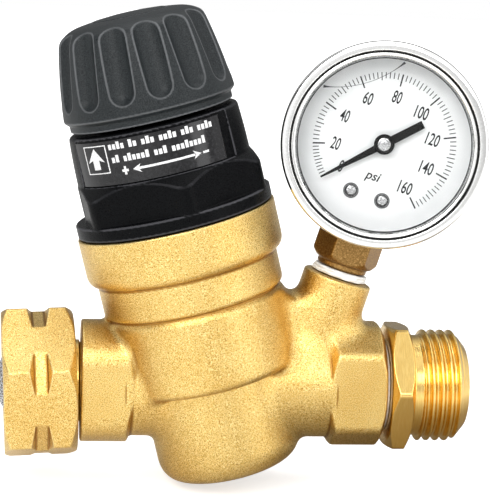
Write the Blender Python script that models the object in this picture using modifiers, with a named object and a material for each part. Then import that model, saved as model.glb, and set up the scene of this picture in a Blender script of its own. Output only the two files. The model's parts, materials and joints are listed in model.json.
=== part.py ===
"""Adjustable water pressure regulator for a caravan hose, with a dial gauge.

A direct-acting diaphragm regulator: a cast brass body on the flow axis, a swivel nut at its inlet, a male
hose thread at its outlet, a spring bonnet with a pull-up knob on a leaning axis, and a liquid-filled gauge.

The origin is on the flow axis, in the plane of the inlet nut's mouth. +X runs along the flow, -Y is the front
and +Z is up.
Lengths below are in millimetres and angles in degrees; MM turns the lengths into metres.
"""

import math

import bmesh
import bpy
from mathutils import Matrix, Vector

MM = 0.001
COLLECTION = "water_pressure_regulator"
CUTTERS = "water_pressure_regulator_cutters"
GAP = 0.3  # clearance between pieces that touch in the real object
FINE, ROUND, SMALL = 32, 20, 14  # segments round a large, a medium and a small turned piece

# Hose thread: 3/4 inch garden hose, 11.5 threads per inch.
THREAD_R, THREAD_ROOT_R, PITCH = 13.45, 12.2, 2.209

# Flow axis, as X stations from the mouth of the inlet nut.
NUT_LENGTH, NUT_ACROSS_FLATS, NUT_CORNER = 17.0, 33.0, 20.0  # a corner is this far above the front
NUT_BORE_R, NUT_SHOULDER_X, NUT_NECK_R, NOTCH_FLOOR_R = 13.0, 12.0, 10.9, 16.1
NUT_PIVOT_X, NUT_DROOP, NUT_SWING = 15.0, 2.4, 2.0  # the loose nut hangs off the flow axis by these angles
INLET_COLLAR_X, INLET_COLLAR_END_X = 18.3, 30.3
OUTLET_COLLAR_X, OUTLET_COLLAR_END_X = 76.9, 90.4
COLLAR_RISE = 0.4  # the cast collars sit this much above the flow axis
COLLAR_HALF_WIDTH, COLLAR_SIDE_HALF = 12.5, 9.2  # the collar's front and back flats
COLLAR_HALF_HEIGHT, COLLAR_TOP_HALF = 14.5, 5.0  # the collar's top and bottom flats
NECK_R = 12.7
HEX_FLANGE_X, HEX_FLANGE_END_X, HEX_FLANGE_R = 91.3, 98.1, 16.6
HEX_FLANGE_CORNER = 4.3  # a corner is this far above the front
OUTLET_THREAD_X, OUTLET_END_X = 99.9, 109.3
PORT_R, OUTLET_BORE_R = 6.5, 8.0

# Regulator axis: heights h along it are measured from where it meets the flow axis.
LEAN, AXIS_X = 14.6, 50.3
BODY_TOP_H, BODY_BOTTOM_H = 41.3, -21.4
HEAD_R, WAIST_R, WAIST_LOWER_R, CUP_R, CUP_CORNER_R = 23.6, 21.5, 21.0, 17.3, 5.0
DIAPHRAGM_H, DIAPHRAGM_R, CHAMBER_R = 33.6, 20.5, 16.0
WEB_LOW_H, WEB_TOP_H, WEB_BORE_R = 4.0, 12.0, 7.2
VALVE_CHAMBER_R, VALVE_CHAMBER_H = 9.5, -16.0
BONNET_H, FLANGE_TOP_H, WRENCH_TOP_H, BONNET_TOP_H = 41.6, 44.8, 53.6, 65.4
BARREL_R, FLANGE_R, WRENCH_FLAT_R = 20.6, 23.3, 20.75
WRENCH_CORNER = 7.0  # a corner of the wrench section, to the right of the front
SPRING_ROOM_R, SPRING_ROOM_TOP_H = 14.0, 61.4
KNOB_H, KNOB_TOP_H, KNOB_R = 66.2, 90.4, 20.3
FLUTES, RIDGE, FLUTE_R = 14, -5.3, 3.6
LABEL_LOW_H, LABEL_TOP_H = 53.9, 64.9
RECESS_LEFT, RECESS_RIGHT, LABEL_LEFT, LABEL_RIGHT = -68.5, 52.0, -67.5, 43.0

# Gauge: its stem leans the other way, and its face turns a little about the stem.
STEM_LEAN, STEM_X, STEM_TURN = 16.8, 71.2, 11.0
BOSS_R, BOSS_TOP_S, GAUGE_S = 8.3, 27.6, 61.2
SOCKET_FLATS, SOCKET_CORNER = 14.0, 26.7
CASE_R, CASE_BACK_N, CASE_RIM_N = 21.8, -12.0, 8.5
BEZEL_R, WINDOW_R, BEZEL_BACK_N, BEZEL_FRONT_N = 24.0, 20.2, 8.0, 13.0
DIAL_N, DIAL_R, DIAL_SCREW_X, DIAL_SCREW_Y = 4.0, 20.4, 3.85, -12.8
ZERO_ANGLE = 225.0  # the pointer's direction at no pressure
GEAR_MODULE, PINION_TEETH, SECTOR_TEETH, SECTOR_ANGLE = 0.3, 8, 64, -20.0
GEAR_DISTANCE = GEAR_MODULE * (PINION_TEETH + SECTOR_TEETH) / 2 + 0.12

FINISHES = {  # base colour, metallic, roughness
    "cast_brass": ((0.80, 0.56, 0.20), 0.9, 0.45),
    "machined_brass": ((0.86, 0.62, 0.22), 1.0, 0.2),
    "socket_brass": ((0.42, 0.26, 0.12), 0.9, 0.4),
    "black_plastic": ((0.055, 0.058, 0.064), 0.0, 0.5),
    "label": ((0.015, 0.015, 0.016), 0.0, 0.15),
    "steel": ((0.62, 0.62, 0.63), 1.0, 0.25),
    "chrome": ((0.82, 0.82, 0.83), 1.0, 0.08),
    "spring_steel": ((0.42, 0.42, 0.44), 1.0, 0.35),
    "rubber": ((0.03, 0.03, 0.03), 0.0, 0.7),
    "seal_white": ((0.86, 0.86, 0.85), 0.0, 0.6),
    "dial_white": ((0.9, 0.9, 0.89), 0.0, 0.5),
    "pointer_black": ((0.02, 0.02, 0.02), 0.0, 0.4),
    "lens_clear": ((0.95, 0.97, 0.98), 0.0, 0.03),
}


# ---------------------------------------------------------------- frames


def frame_of(origin, x_axis, y_axis, z_axis):
    """A placement from an origin in millimetres and three unit axes."""
    matrix = Matrix((x_axis, y_axis, z_axis)).transposed().to_4x4()
    matrix.translation = Vector(origin) * MM
    return matrix


def leaning_frame(angle, station):
    """An axis that rises from the flow axis at a station, leaning towards +X by an angle."""
    sine, cosine = math.sin(math.radians(angle)), math.cos(math.radians(angle))
    return frame_of((station, 0, 0), (cosine, 0, -sine), (0, 1, 0), (sine, 0, cosine))


def drooping_frame(pivot_x, droop, swing):
    """The flow axis turned about a point on it, so that its inlet end drops and comes forward."""
    turn = Matrix.Rotation(math.radians(swing), 4, "Z") @ Matrix.Rotation(math.radians(-droop), 4, "Y")
    there, back = (Matrix.Translation((side * pivot_x * MM, 0, 0)) for side in (1, -1))
    return there @ turn @ back @ FLOW


FLOW = frame_of((0, 0, 0), (0, 0, 1), (0, -1, 0), (1, 0, 0))
NUT = drooping_frame(NUT_PIVOT_X, NUT_DROOP, NUT_SWING)
AXIS = leaning_frame(-LEAN, AXIS_X)
STEM = leaning_frame(STEM_LEAN, STEM_X)
GAUGE = (
    STEM
    @ Matrix.Translation((0, 0, GAUGE_S * MM))
    @ Matrix.Rotation(math.radians(-STEM_TURN), 4, "Z")
    @ Matrix.Rotation(math.radians(90), 4, "X")
)


def front(angle):
    """The polar angle, on a leaning axis, of a direction so many degrees to the right of the front."""
    return angle - 90.0


def polar(radius, angle):
    return radius * math.cos(math.radians(angle)), radius * math.sin(math.radians(angle))


def arc(centre, radius, start, end, count):
    """Points along an arc, both ends included."""
    step = (end - start) / (count - 1)
    turns = (polar(radius, start + i * step) for i in range(count))
    return [(centre[0] + x, centre[1] + y) for x, y in turns]


def polygon(sides, corner_r, first_angle):
    return [polar(corner_r, first_angle + 360 * i / sides) for i in range(sides)]


def hexagon(across_flats, first_angle):
    return polygon(6, across_flats / 2 / math.cos(math.radians(30)), first_angle)


# ---------------------------------------------------------------- modelling tools


def collection(name):
    found = bpy.data.collections.get(name)
    if found is None:
        found = bpy.data.collections.new(name)
        bpy.context.scene.collection.children.link(found)
    return found


def placed(name, data, frame):
    """A new object in the cutters' collection; keep() moves a finished part to the parts' collection."""
    obj = bpy.data.objects.new(name, data)
    collection(CUTTERS).objects.link(obj)
    obj.matrix_world = frame
    obj.hide_render = True
    obj.display_type = "WIRE"
    return obj


def made_solid(obj):
    """Replaces an object by the closed mesh that its curve or modifiers make."""
    bpy.context.view_layer.update()
    graph = bpy.context.evaluated_depsgraph_get()
    mesh = bpy.data.meshes.new_from_object(obj.evaluated_get(graph))
    shape = bmesh.new()
    shape.from_mesh(mesh)
    bmesh.ops.remove_doubles(shape, verts=shape.verts, dist=1e-6)
    bmesh.ops.recalc_face_normals(shape, faces=shape.faces)
    shape.to_mesh(mesh)
    shape.free()
    solid = placed(obj.name + "_solid", mesh, obj.matrix_world.copy())
    name = obj.name
    bpy.data.objects.remove(obj)
    solid.name = name
    return solid


def turned(name, profile, frame, steps=ROUND):
    """A solid of revolution about the frame's Z axis. The profile is (radius, height) pairs: a closed outline,
    or a chain that starts and ends on the axis."""
    doubled_area = sum(
        a[0] * b[1] - b[0] * a[1] for a, b in zip(profile, profile[1:] + profile[:1])
    )
    if doubled_area > 0:
        profile = profile[::-1]
    on_axis = profile[0][0] == 0 and profile[-1][0] == 0
    edges = [(i, i + 1) for i in range(len(profile) - 1)]
    if not on_axis:
        edges.append((len(profile) - 1, 0))
    mesh = bpy.data.meshes.new(name)
    mesh.from_pydata([(r * MM, 0, h * MM) for r, h in profile], edges, [])
    obj = placed(name, mesh, frame)
    screw = obj.modifiers.new("Screw", "SCREW")
    screw.steps = screw.render_steps = steps
    screw.use_merge_vertices = True
    screw.merge_threshold = 1e-6
    return made_solid(obj)


def ring(name, inner, outer, low, high, frame, steps=ROUND):
    return turned(name, [(inner, low), (outer, low), (outer, high), (inner, high)], frame, steps)


def rod(name, radius, low, high, frame, steps=SMALL):
    return turned(name, [(0, low), (radius, low), (radius, high), (0, high)], frame, steps)


def o_ring(name, mean_r, section_r, height, frame, sides=8, steps=ROUND):
    section = [polar(section_r, 360 * i / sides) for i in range(sides)]
    return turned(name, [(mean_r + x, height + y) for x, y in section], frame, steps)


def prism(name, outline, low, high, frame):
    """A flat outline given thickness along the frame's Z axis."""
    curve = bpy.data.curves.new(name, "CURVE")
    curve.dimensions = "2D"
    curve.fill_mode = "BOTH"
    curve.extrude = (high - low) / 2 * MM
    spline = curve.splines.new("POLY")
    spline.points.add(len(outline) - 1)
    for point, (x, y) in zip(spline.points, outline):
        point.co = (x * MM, y * MM, 0, 1)
    spline.use_cyclic_u = True
    middle = Matrix.Translation((0, 0, (low + high) / 2 * MM))
    return made_solid(placed(name, curve, frame @ middle))


def wire(name, points, radius, frame, resolution=2):
    """A round wire along a list of points."""
    curve = bpy.data.curves.new(name, "CURVE")
    curve.dimensions = "3D"
    curve.bevel_depth = radius * MM
    curve.bevel_resolution = resolution
    curve.use_fill_caps = True
    spline = curve.splines.new("POLY")
    spline.points.add(len(points) - 1)
    for point, place in zip(spline.points, points):
        point.co = (*(Vector(place) * MM), 1)
    return made_solid(placed(name, curve, frame))


def drill(name, start, end, radius, steps=ROUND):
    """A round cutter between two points on the centre plane, given as (x, z)."""
    low, high = Vector((start[0], 0, start[1])), Vector((end[0], 0, end[1]))
    along = (high - low).normalized()
    frame = frame_of(low, Vector((0, 1, 0)).cross(along), (0, 1, 0), along)
    return rod(name, radius, 0, (high - low).length, frame, steps)


def sector_outline(radius, start, end):
    """A pie slice of less than a full turn, whose round side lies outside the radius."""
    count = max(2, math.ceil((end - start) / 40) + 1)
    return [(0, 0), *arc((0, 0), radius, start, end, count)]


def combine(obj, other, operation):
    """Joins, cuts or intersects one solid with another, which is used up."""
    boolean = obj.modifiers.new(operation.title(), "BOOLEAN")
    boolean.operation = operation
    boolean.object = other
    solid = made_solid(obj)
    bpy.data.objects.remove(other)
    return solid


def join(obj, *others):
    for other in others:
        obj = combine(obj, other, "UNION")
    return obj


def cut(obj, *others):
    for other in others:
        obj = combine(obj, other, "DIFFERENCE")
    return obj


def common(obj, *others):
    for other in others:
        obj = combine(obj, other, "INTERSECT")
    return obj


def finish_material(name):
    found = bpy.data.materials.get(name)
    if found is None:
        colour, metallic, roughness = FINISHES[name]
        found = bpy.data.materials.new(name)
        found.use_nodes = True
        shader = found.node_tree.nodes["Principled BSDF"]
        shader.inputs["Base Color"].default_value = (*colour, 1)
        shader.inputs["Metallic"].default_value = metallic
        shader.inputs["Roughness"].default_value = roughness
        if name == "lens_clear":
            shader.inputs["Transmission Weight"].default_value = 1.0
    return found


def keep(obj, finish, pivot=None):
    """Makes a solid a finished part, with its material and, if it moves, its origin on the joint's axis."""
    if pivot is not None:
        shift = pivot.inverted() @ obj.matrix_world
        obj.data.transform(shift)
        obj.matrix_world = pivot
    obj.data.materials.clear()
    obj.data.materials.append(finish_material(finish))
    obj.data.shade_smooth()
    obj.data.set_sharp_from_angle(angle=math.radians(32))
    collection(CUTTERS).objects.unlink(obj)
    collection(COLLECTION).objects.link(obj)
    obj.hide_render = False
    obj.display_type = "TEXTURED"
    return obj


# ---------------------------------------------------------------- brass body


def body_stack():
    """The stepped round casting on the regulator axis, without its bores."""
    return turned(
        "body_casting",
        [
            (0, BODY_BOTTOM_H),
            *arc((CUP_R - CUP_CORNER_R, BODY_BOTTOM_H + CUP_CORNER_R), CUP_CORNER_R, -90, 0, 5),
            (CUP_R, 1.0),
            (WAIST_LOWER_R - 1.5, 3.0),
            (WAIST_LOWER_R, 4.5),
            (WAIST_LOWER_R, 20.4),
            (WAIST_LOWER_R - 0.7, 21.4),
            (WAIST_R, 22.4),
            (WAIST_R, 28.8),
            (WAIST_R - 0.3, 29.8),
            *arc((HEAD_R - 3, 33.4), 3, -70, 0, 4),
            (HEAD_R, BODY_TOP_H),
            (0, BODY_TOP_H),
        ],
        AXIS,
        FINE,
    )


def collar_outline():
    """Half-way between a square and an octagon. X of the outline is up and Y is to the front."""
    quarter = [(COLLAR_HALF_HEIGHT, COLLAR_TOP_HALF), (COLLAR_SIDE_HALF, COLLAR_HALF_WIDTH)]
    top = [(-x, y) for x, y in quarter[::-1]]
    return quarter + top + [(-x, -y) for x, y in quarter] + [(x, -y) for x, y in quarter[::-1]]


def collar(name, start, end, chamfer_start, chamfer_end):
    """A pipe collar along the flow, with its corners turned back at one or both ends."""
    corner, low, slope = 15.6, 12.6, 1.6
    profile = [(0, start), (low if chamfer_start else corner, start)]
    if chamfer_start:
        profile.append((corner, start + slope))
    if chamfer_end:
        profile.append((corner, end - slope))
    profile += [(low if chamfer_end else corner, end), (0, end)]
    raised = FLOW @ Matrix.Translation((COLLAR_RISE * MM, 0, 0))
    outline = prism(name, collar_outline(), start, end, raised)
    return common(outline, turned(name + "_turning", profile, raised))


def body_casting():
    neck = rod("neck", NECK_R, INLET_COLLAR_END_X - 1, OUTLET_COLLAR_X + 1, FLOW, ROUND)
    boss = rod("boss", BOSS_R, 4, BOSS_TOP_S, STEM, ROUND)
    web = prism("web", [(12, -6), (23.5, -6), (23.5, 6), (12, 6)], 59, 73, FLOW)
    outside = join(
        body_stack(),
        collar("inlet_collar", INLET_COLLAR_X, INLET_COLLAR_END_X, False, True),
        collar("outlet_collar", OUTLET_COLLAR_X, OUTLET_COLLAR_END_X, True, True),
        neck,
        boss,
        web,
    )
    rooms = turned(
        "rooms",
        [
            (0, VALVE_CHAMBER_H),
            (VALVE_CHAMBER_R, VALVE_CHAMBER_H),
            (VALVE_CHAMBER_R, WEB_LOW_H),
            (WEB_BORE_R, WEB_LOW_H),
            (WEB_BORE_R, WEB_TOP_H),
            (CHAMBER_R, WEB_TOP_H),
            (CHAMBER_R, DIAPHRAGM_H),
            (DIAPHRAGM_R, DIAPHRAGM_H),
            (DIAPHRAGM_R, BODY_TOP_H + 5),
            (0, BODY_TOP_H + 5),
        ],
        AXIS,
        FINE,
    )
    solid = cut(
        outside,
        rooms,
        rod("inlet_socket", 9.8, INLET_COLLAR_X - 3, 28.4, FLOW, ROUND),
        drill("inlet_port", (27.5, 0), (52.0, -5.0), 5.0),
        rod("outlet_socket", 9.8, 82.6, OUTLET_COLLAR_END_X + 3, FLOW, ROUND),
        rod("outlet_port", PORT_R, 69.0, 84.0, FLOW, ROUND),
        drill("riser", (70.5, 0.0), (62.3, 16.5), 3.6),
        rod("gauge_tap", 2.0, 2, 19, STEM),
        rod("gauge_thread", 5.4, 17.5, BOSS_TOP_S + 3, STEM),
    )
    keep(solid, "cast_brass")


# ---------------------------------------------------------------- inlet


def inlet_tailpiece():
    sleeve = turned(
        "inlet_tailpiece",
        [
            (7.6, 8.9), (12.2, 8.9), (12.2, 11.1), (10.0, 11.1), (10.0, 17.9), (9.4, 17.9), (9.4, 27.6),
            (7.6, 27.6),
        ],
        FLOW,
    )
    keep(sleeve, "machined_brass")


def corner_notch(angle):
    """The cutter for a tangential slot across one corner of the swivel nut, a little wider at its mouth."""
    outline = [(NOTCH_FLOOR_R, 7.2), (NOTCH_FLOOR_R, 10.2), (22, 12.4), (22, 5.0)]
    turn = Matrix.Rotation(math.radians(angle), 4, "Z") @ Matrix.Rotation(math.radians(90), 4, "X")
    return prism("notch", outline, -8, 8, NUT @ turn)


def inlet_swivel_nut():
    corner, face, end = 19.3, 17.0, NUT_LENGTH
    turning = turned(
        "nut_turning",
        [(0, 0), (face, 0), (corner, 1.6), (corner, end - 2.2), (16.3, end), (0, end)],
        NUT,
        FINE,
    )
    bore = turned(
        "nut_bore",
        [
            (0, -3), (NUT_BORE_R + 3.6, -3), (NUT_BORE_R, 0.6), (NUT_BORE_R, NUT_SHOULDER_X),
            (NUT_NECK_R, NUT_SHOULDER_X), (NUT_NECK_R, end + 3), (0, end + 3),
        ],
        NUT,
        FINE,
    )
    first = 90 - NUT_CORNER
    solid = common(prism("inlet_swivel_nut", hexagon(NUT_ACROSS_FLATS, first), 0, end, NUT), turning)
    solid = cut(solid, bore, *(corner_notch(first + 60 * i) for i in range(6)))
    keep(solid, "cast_brass", NUT)


def inlet_seals():
    keep(ring("inlet_washer", 8.0, 12.2, 6.0, 8.6, FLOW), "rubber")
    outer, rim = 7.6, 12.1
    dome = turned(
        "inlet_screen",
        [
            (0, -1.6), (3.4, -1.2), (5.9, 0.1), (7.2, 2.0), (outer, 4.6), (rim, 4.9), (rim, 5.7),
            (outer - 0.6, 5.7), (6.6, 2.3), (5.4, 0.6), (3.2, -0.6), (0, -1.0),
        ],
        FLOW,
    )
    keep(dome, "steel")


# ---------------------------------------------------------------- outlet


def thread_profile(start, count):
    """Ridges of the hose thread, one pitch apart, for a turned profile along the flow."""
    ridge = ((THREAD_ROOT_R, -0.8), (THREAD_R, -0.25), (THREAD_R, 0.25), (THREAD_ROOT_R, 0.8))
    crests = (start + (i + 0.5) * PITCH for i in range(count))
    return [(radius, crest + offset) for crest in crests for radius, offset in ridge]


def outlet_adapter():
    outside = turned(
        "outlet_adapter",
        [
            (0, 83.2), (9.4, 83.2), (9.4, HEX_FLANGE_X), (13.0, HEX_FLANGE_X), (13.0, HEX_FLANGE_END_X - 0.2),
            (12.0, HEX_FLANGE_END_X), *thread_profile(OUTLET_THREAD_X, 4), (12.4, OUTLET_END_X - 0.8),
            (11.2, OUTLET_END_X), (0, OUTLET_END_X),
        ],
        FLOW,
        FINE,
    )
    corners = turned(
        "flange_turning",
        [
            (0, HEX_FLANGE_X), (13.6, HEX_FLANGE_X), (HEX_FLANGE_R, HEX_FLANGE_X + 1.6),
            (HEX_FLANGE_R, HEX_FLANGE_END_X - 1.6), (13.0, HEX_FLANGE_END_X), (0, HEX_FLANGE_END_X),
        ],
        FLOW,
        FINE,
    )
    outline = polygon(6, HEX_FLANGE_R, 90 - HEX_FLANGE_CORNER)
    flange = prism("flange", outline, HEX_FLANGE_X, HEX_FLANGE_END_X, FLOW)
    solid = join(outside, common(flange, corners))
    solid = cut(solid, rod("outlet_bore", OUTLET_BORE_R, 80, OUTLET_END_X + 3, FLOW, ROUND))
    keep(solid, "machined_brass")


def outlet_seal():
    keep(ring("outlet_seal", 9.75, 10.9, OUTLET_COLLAR_END_X + 0.2, HEX_FLANGE_X - 0.2, FLOW), "seal_white")


# ---------------------------------------------------------------- bonnet and knob


def wedge(name, left, right, low, high):
    """A pie slice on the regulator axis, between two angles to the right of the front."""
    return prism(name, sector_outline(34, front(left), front(right)), low, high, AXIS)


def bonnet():
    outside = turned(
        "bonnet",
        [
            (0, 36.7), (20.2, 36.7), (20.2, BONNET_H), (FLANGE_R - 0.3, BONNET_H), (FLANGE_R, BONNET_H + 0.4),
            (FLANGE_R, FLANGE_TOP_H - 0.7), (FLANGE_R - 0.6, FLANGE_TOP_H), (BARREL_R, FLANGE_TOP_H),
            (BARREL_R + 0.2, 54.0), (BARREL_R - 0.2, 63.6),
            *arc((BARREL_R - 2.0, BONNET_TOP_H - 1.7), 1.7, 5, 90, 4),
            (12.2, BONNET_TOP_H), (12.2, 68.4), (11.6, 69.0), (0, 69.0),
        ],
        AXIS,
        FINE,
    )
    corner_r = WRENCH_FLAT_R / math.cos(math.radians(30))
    turning = turned(
        "wrench_turning",
        [
            (0, FLANGE_TOP_H - 0.5), (corner_r, FLANGE_TOP_H - 0.5), (corner_r, WRENCH_TOP_H - 2.8),
            (BARREL_R, WRENCH_TOP_H), (0, WRENCH_TOP_H),
        ],
        AXIS,
        FINE,
    )
    flats = prism("flats", polygon(6, corner_r, front(WRENCH_CORNER)), FLANGE_TOP_H - 0.5, WRENCH_TOP_H, AXIS)
    lost = WRENCH_CORNER - 120  # this corner is moulded round
    rounding = common(
        ring("rounding", BARREL_R + 0.15, 30, FLANGE_TOP_H, WRENCH_TOP_H + 1, AXIS, FINE),
        wedge("lost_corner", lost - 30, lost + 30, FLANGE_TOP_H - 1, WRENCH_TOP_H + 2),
    )
    room = turned(
        "spring_room",
        [
            (0, 30), (16.4, 30), (16.4, 40.6), (SPRING_ROOM_R, 42.2), (SPRING_ROOM_R, SPRING_ROOM_TOP_H),
            (4.2, SPRING_ROOM_TOP_H), (4.2, 75), (0, 75),
        ],
        AXIS,
    )
    recess = common(
        ring("recess", BARREL_R - 0.65, 26, LABEL_LOW_H, LABEL_TOP_H - 0.4, AXIS, FINE),
        wedge("recess_sides", RECESS_LEFT, RECESS_RIGHT, LABEL_LOW_H - 2, LABEL_TOP_H + 2),
    )
    keyway = prism("keyway", [(-16, -2.6), (16, -2.6), (16, 2.6), (-16, 2.6)], 44, SPRING_ROOM_TOP_H, AXIS)
    solid = join(outside, cut(common(flats, turning), rounding))
    keep(cut(solid, recess, room, keyway), "black_plastic")


def bonnet_label():
    inner, outer = BARREL_R - 0.5, BARREL_R - 0.22
    plate = ring("bonnet_label", inner, outer, LABEL_LOW_H + 0.3, LABEL_TOP_H - 0.7, AXIS, FINE)
    sides = wedge("label_sides", LABEL_LEFT, LABEL_RIGHT, LABEL_LOW_H - 2, LABEL_TOP_H + 2)
    keep(common(plate, sides), "label")


def flute(angle):
    """The cutter for one grip flute: a round-ended groove that follows the taper and opens at the top."""
    low_r, high_r, low_h, length = 21.75, 18.3, 74.6, 17.0
    lean = math.degrees(math.atan2(low_r - high_r, length))
    groove = turned(
        "flute",
        [*arc((0, 0), FLUTE_R, -90, 0, 3), (FLUTE_R, length), (0, length)],
        AXIS
        @ Matrix.Rotation(math.radians(angle), 4, "Z")
        @ Matrix.Translation((low_r * MM, 0, low_h * MM))
        @ Matrix.Rotation(math.radians(-lean), 4, "Y"),
        10,
    )
    return groove


def knob():
    outside = turned(
        "knob",
        [
            (0, KNOB_H), (19.3, KNOB_H), (19.3, 67.8), (KNOB_R, 68.7), (19.75, 73.7), (19.05, 78.4),
            (18.1, 83.8), (17.5, 86.6), (16.6, 88.1), (14.5, 89.2), (8.0, 90.1), (0, KNOB_TOP_H),
        ],
        AXIS,
        FINE,
    )
    hollow = turned("knob_hollow", [(0, 60), (16.5, 60), (16.5, 72), (0, 72)], AXIS)
    core = ring("knob_core", 8.0, 14.0, 71, 84, AXIS)
    recess = turned(
        "knob_recess",
        [(0, 77.7), (5.2, 77.7), (5.2, 87.4), (8.9, 87.4), (8.9, 95), (0, 95)],
        AXIS,
        SMALL,
    )
    socket = prism("knob_socket", hexagon(7.2, 0), 70, 79, AXIS)
    first = front(RIDGE) + 180 / FLUTES
    flutes = (flute(first + i * 360 / FLUTES) for i in range(FLUTES))
    keep(cut(outside, hollow, core, recess, socket, *flutes), "black_plastic", AXIS)
    cap = turned(
        "knob_cap", [(0, 87.7), (8.6, 87.7), (8.6, 90.0), (5.0, 90.3), (0, KNOB_TOP_H)], AXIS, SMALL
    )
    keep(cap, "black_plastic", AXIS)


def adjusting_screw():
    shaft = turned(
        "adjusting_screw",
        [
            (0, 43.5), (4.0, 43.5), (4.6, 44.2), (4.6, 58.6), (7.0, 58.6), (7.0, 60.0), (3.8, 60.0),
            (3.8, 69.2), (3.0, 69.2), (3.0, 70.3), (3.3, 70.3), (3.3, 72.0), (0, 72.0),
        ],
        AXIS,
        SMALL,
    )
    drive = prism("drive", hexagon(6.6, 0), 71.0, 81.9, AXIS)
    solid = cut(join(shaft, drive), rod("tapped_hole", 1.9, 73, 83, AXIS, 12))
    keep(solid, "machined_brass", AXIS)
    keep(
        turned(
            "knob_screw",
            [(0, 74), (1.6, 74), (1.6, 82.2), (4.3, 82.2), (4.3, 83.6), (3.3, 84.6), (0, 84.6)],
            AXIS,
            SMALL,
        ),
        "steel",
        AXIS,
    )
    keep(ring("thrust_washer", 4.2, 7.6, 60.3, 61.1, AXIS, SMALL), "seal_white")
    clip = ring("retaining_clip", 3.3, 6.2, 69.4, 70.1, AXIS, SMALL)
    mouth = prism("clip_mouth", [(0, -2.2), (8, -2.2), (8, 2.2), (0, 2.2)], 69, 71, AXIS)
    keep(cut(clip, mouth), "spring_steel", AXIS)


# ---------------------------------------------------------------- spring, diaphragm and valve


def spring_carrier():
    disc = turned(
        "spring_carrier",
        [(5.0, 48.6), (7.4, 48.6), (7.8, 49.0), (7.8, 50.6), (13.2, 50.6), (13.2, 54.8), (5.0, 54.8)],
        AXIS,
    )
    lug_outline = [(12, -2.2), (15.4, -2.2), (15.4, 2.2), (12, 2.2)]
    lugs = [prism("lug", [(side * x, y) for x, y in lug_outline], 50.6, 54.8, AXIS) for side in (1, -1)]
    keep(join(disc, *lugs), "machined_brass", AXIS)


def range_spring():
    """An open coil whose last three quarters of a turn at each end lie nearly flat."""
    mean_r, wire_r, low, high, turns, per_turn = 9.4, 1.0, 37.95, 49.2, 4.25, 14
    flat_turns, flat_rise = 0.75, 0.36
    points = []
    for i in range(int(turns * per_turn) + 1):
        turn = i / per_turn
        start = min(turn / flat_turns, 1)
        middle = min(max((turn - flat_turns) / (turns - 2 * flat_turns), 0), 1)
        end = max((turn - turns) / flat_turns + 1, 0)
        height = low + flat_rise * (start + end) + (high - low - 2 * flat_rise) * middle
        points.append((*polar(mean_r, 360 * turn), height))
    keep(wire("range_spring", points, wire_r, AXIS), "spring_steel", AXIS)


def diaphragm_stack():
    """The rubber diaphragm, the plates that clamp its middle and the ring that clamps its rim."""
    low, high, roll_low, roll_high = DIAPHRAGM_H + GAP, 35.1, 12.2, 16.0
    middle, radius = (roll_low + roll_high) / 2, (roll_high - roll_low) / 2
    over = arc((middle, 35.2), radius + 0.2, 180, 0, 7)
    under = arc((middle, 34.4), radius - 0.7, 0, 180, 6)
    outline = [(2.1, low), (2.1, high), *over, (20.1, high), (20.1, low), *under]
    keep(turned("diaphragm", outline, AXIS), "rubber")
    keep(ring("slip_ring", 16.7, 20.0, 35.4, 36.4, AXIS), "steel")
    upper = [(2.2, 35.4), (11.6, 35.4), (11.6, 38.0), (10.9, 38.0), (10.9, 36.6), (2.2, 36.6)]
    keep(turned("diaphragm_plate", upper, AXIS), "steel", AXIS)
    keep(ring("diaphragm_lower_plate", 2.2, 11.0, 32.2, 33.6, AXIS), "machined_brass", AXIS)


def hex_nut(name, across_flats, bore_r, low, high, finish):
    nut = prism(name, hexagon(across_flats, 0), low, high, AXIS)
    keep(cut(nut, rod(name + "_bore", bore_r, low - 1, high + 1, AXIS, 16)), finish, AXIS)


def valve():
    stem = turned(
        "valve_stem",
        [(0, -8.0), (1.7, -8.0), (1.7, 30.4), (3.2, 30.4), (3.2, 31.9), (1.7, 31.9), (1.7, 40.6), (0, 40.6)],
        AXIS,
        SMALL,
    )
    keep(stem, "steel", AXIS)
    hex_nut("stem_lock_nut", 7.0, 2.0, 36.9, 39.9, "steel")
    holder = [(2.0, -4.2), (6.6, -4.2), (6.6, -0.9), (5.9, -0.9), (5.9, -2.5), (2.0, -2.5)]
    keep(turned("disc_holder", holder, AXIS, SMALL), "machined_brass", AXIS)
    keep(ring("valve_disc", 2.1, 5.6, -2.2, -0.4, AXIS, SMALL), "rubber", AXIS)
    hex_nut("disc_nut", 6.0, 2.0, -7.2, -4.5, "steel")


def seat():
    cartridge = turned(
        "seat_cartridge",
        [
            (3.4, 1.4), (4.3, 1.4), (4.6, 2.2), (6.9, 2.2), (6.9, 7.1), (5.2, 7.1), (5.2, 9.1), (6.9, 9.1),
            (6.9, 12.3), (9.0, 12.3), (9.0, 14.0), (3.4, 14.0),
        ],
        AXIS,
    )
    keep(cartridge, "machined_brass")
    keep(o_ring("cartridge_o_ring", 6.2, 0.8, 8.1, AXIS), "rubber")


# ---------------------------------------------------------------- gauge


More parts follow.
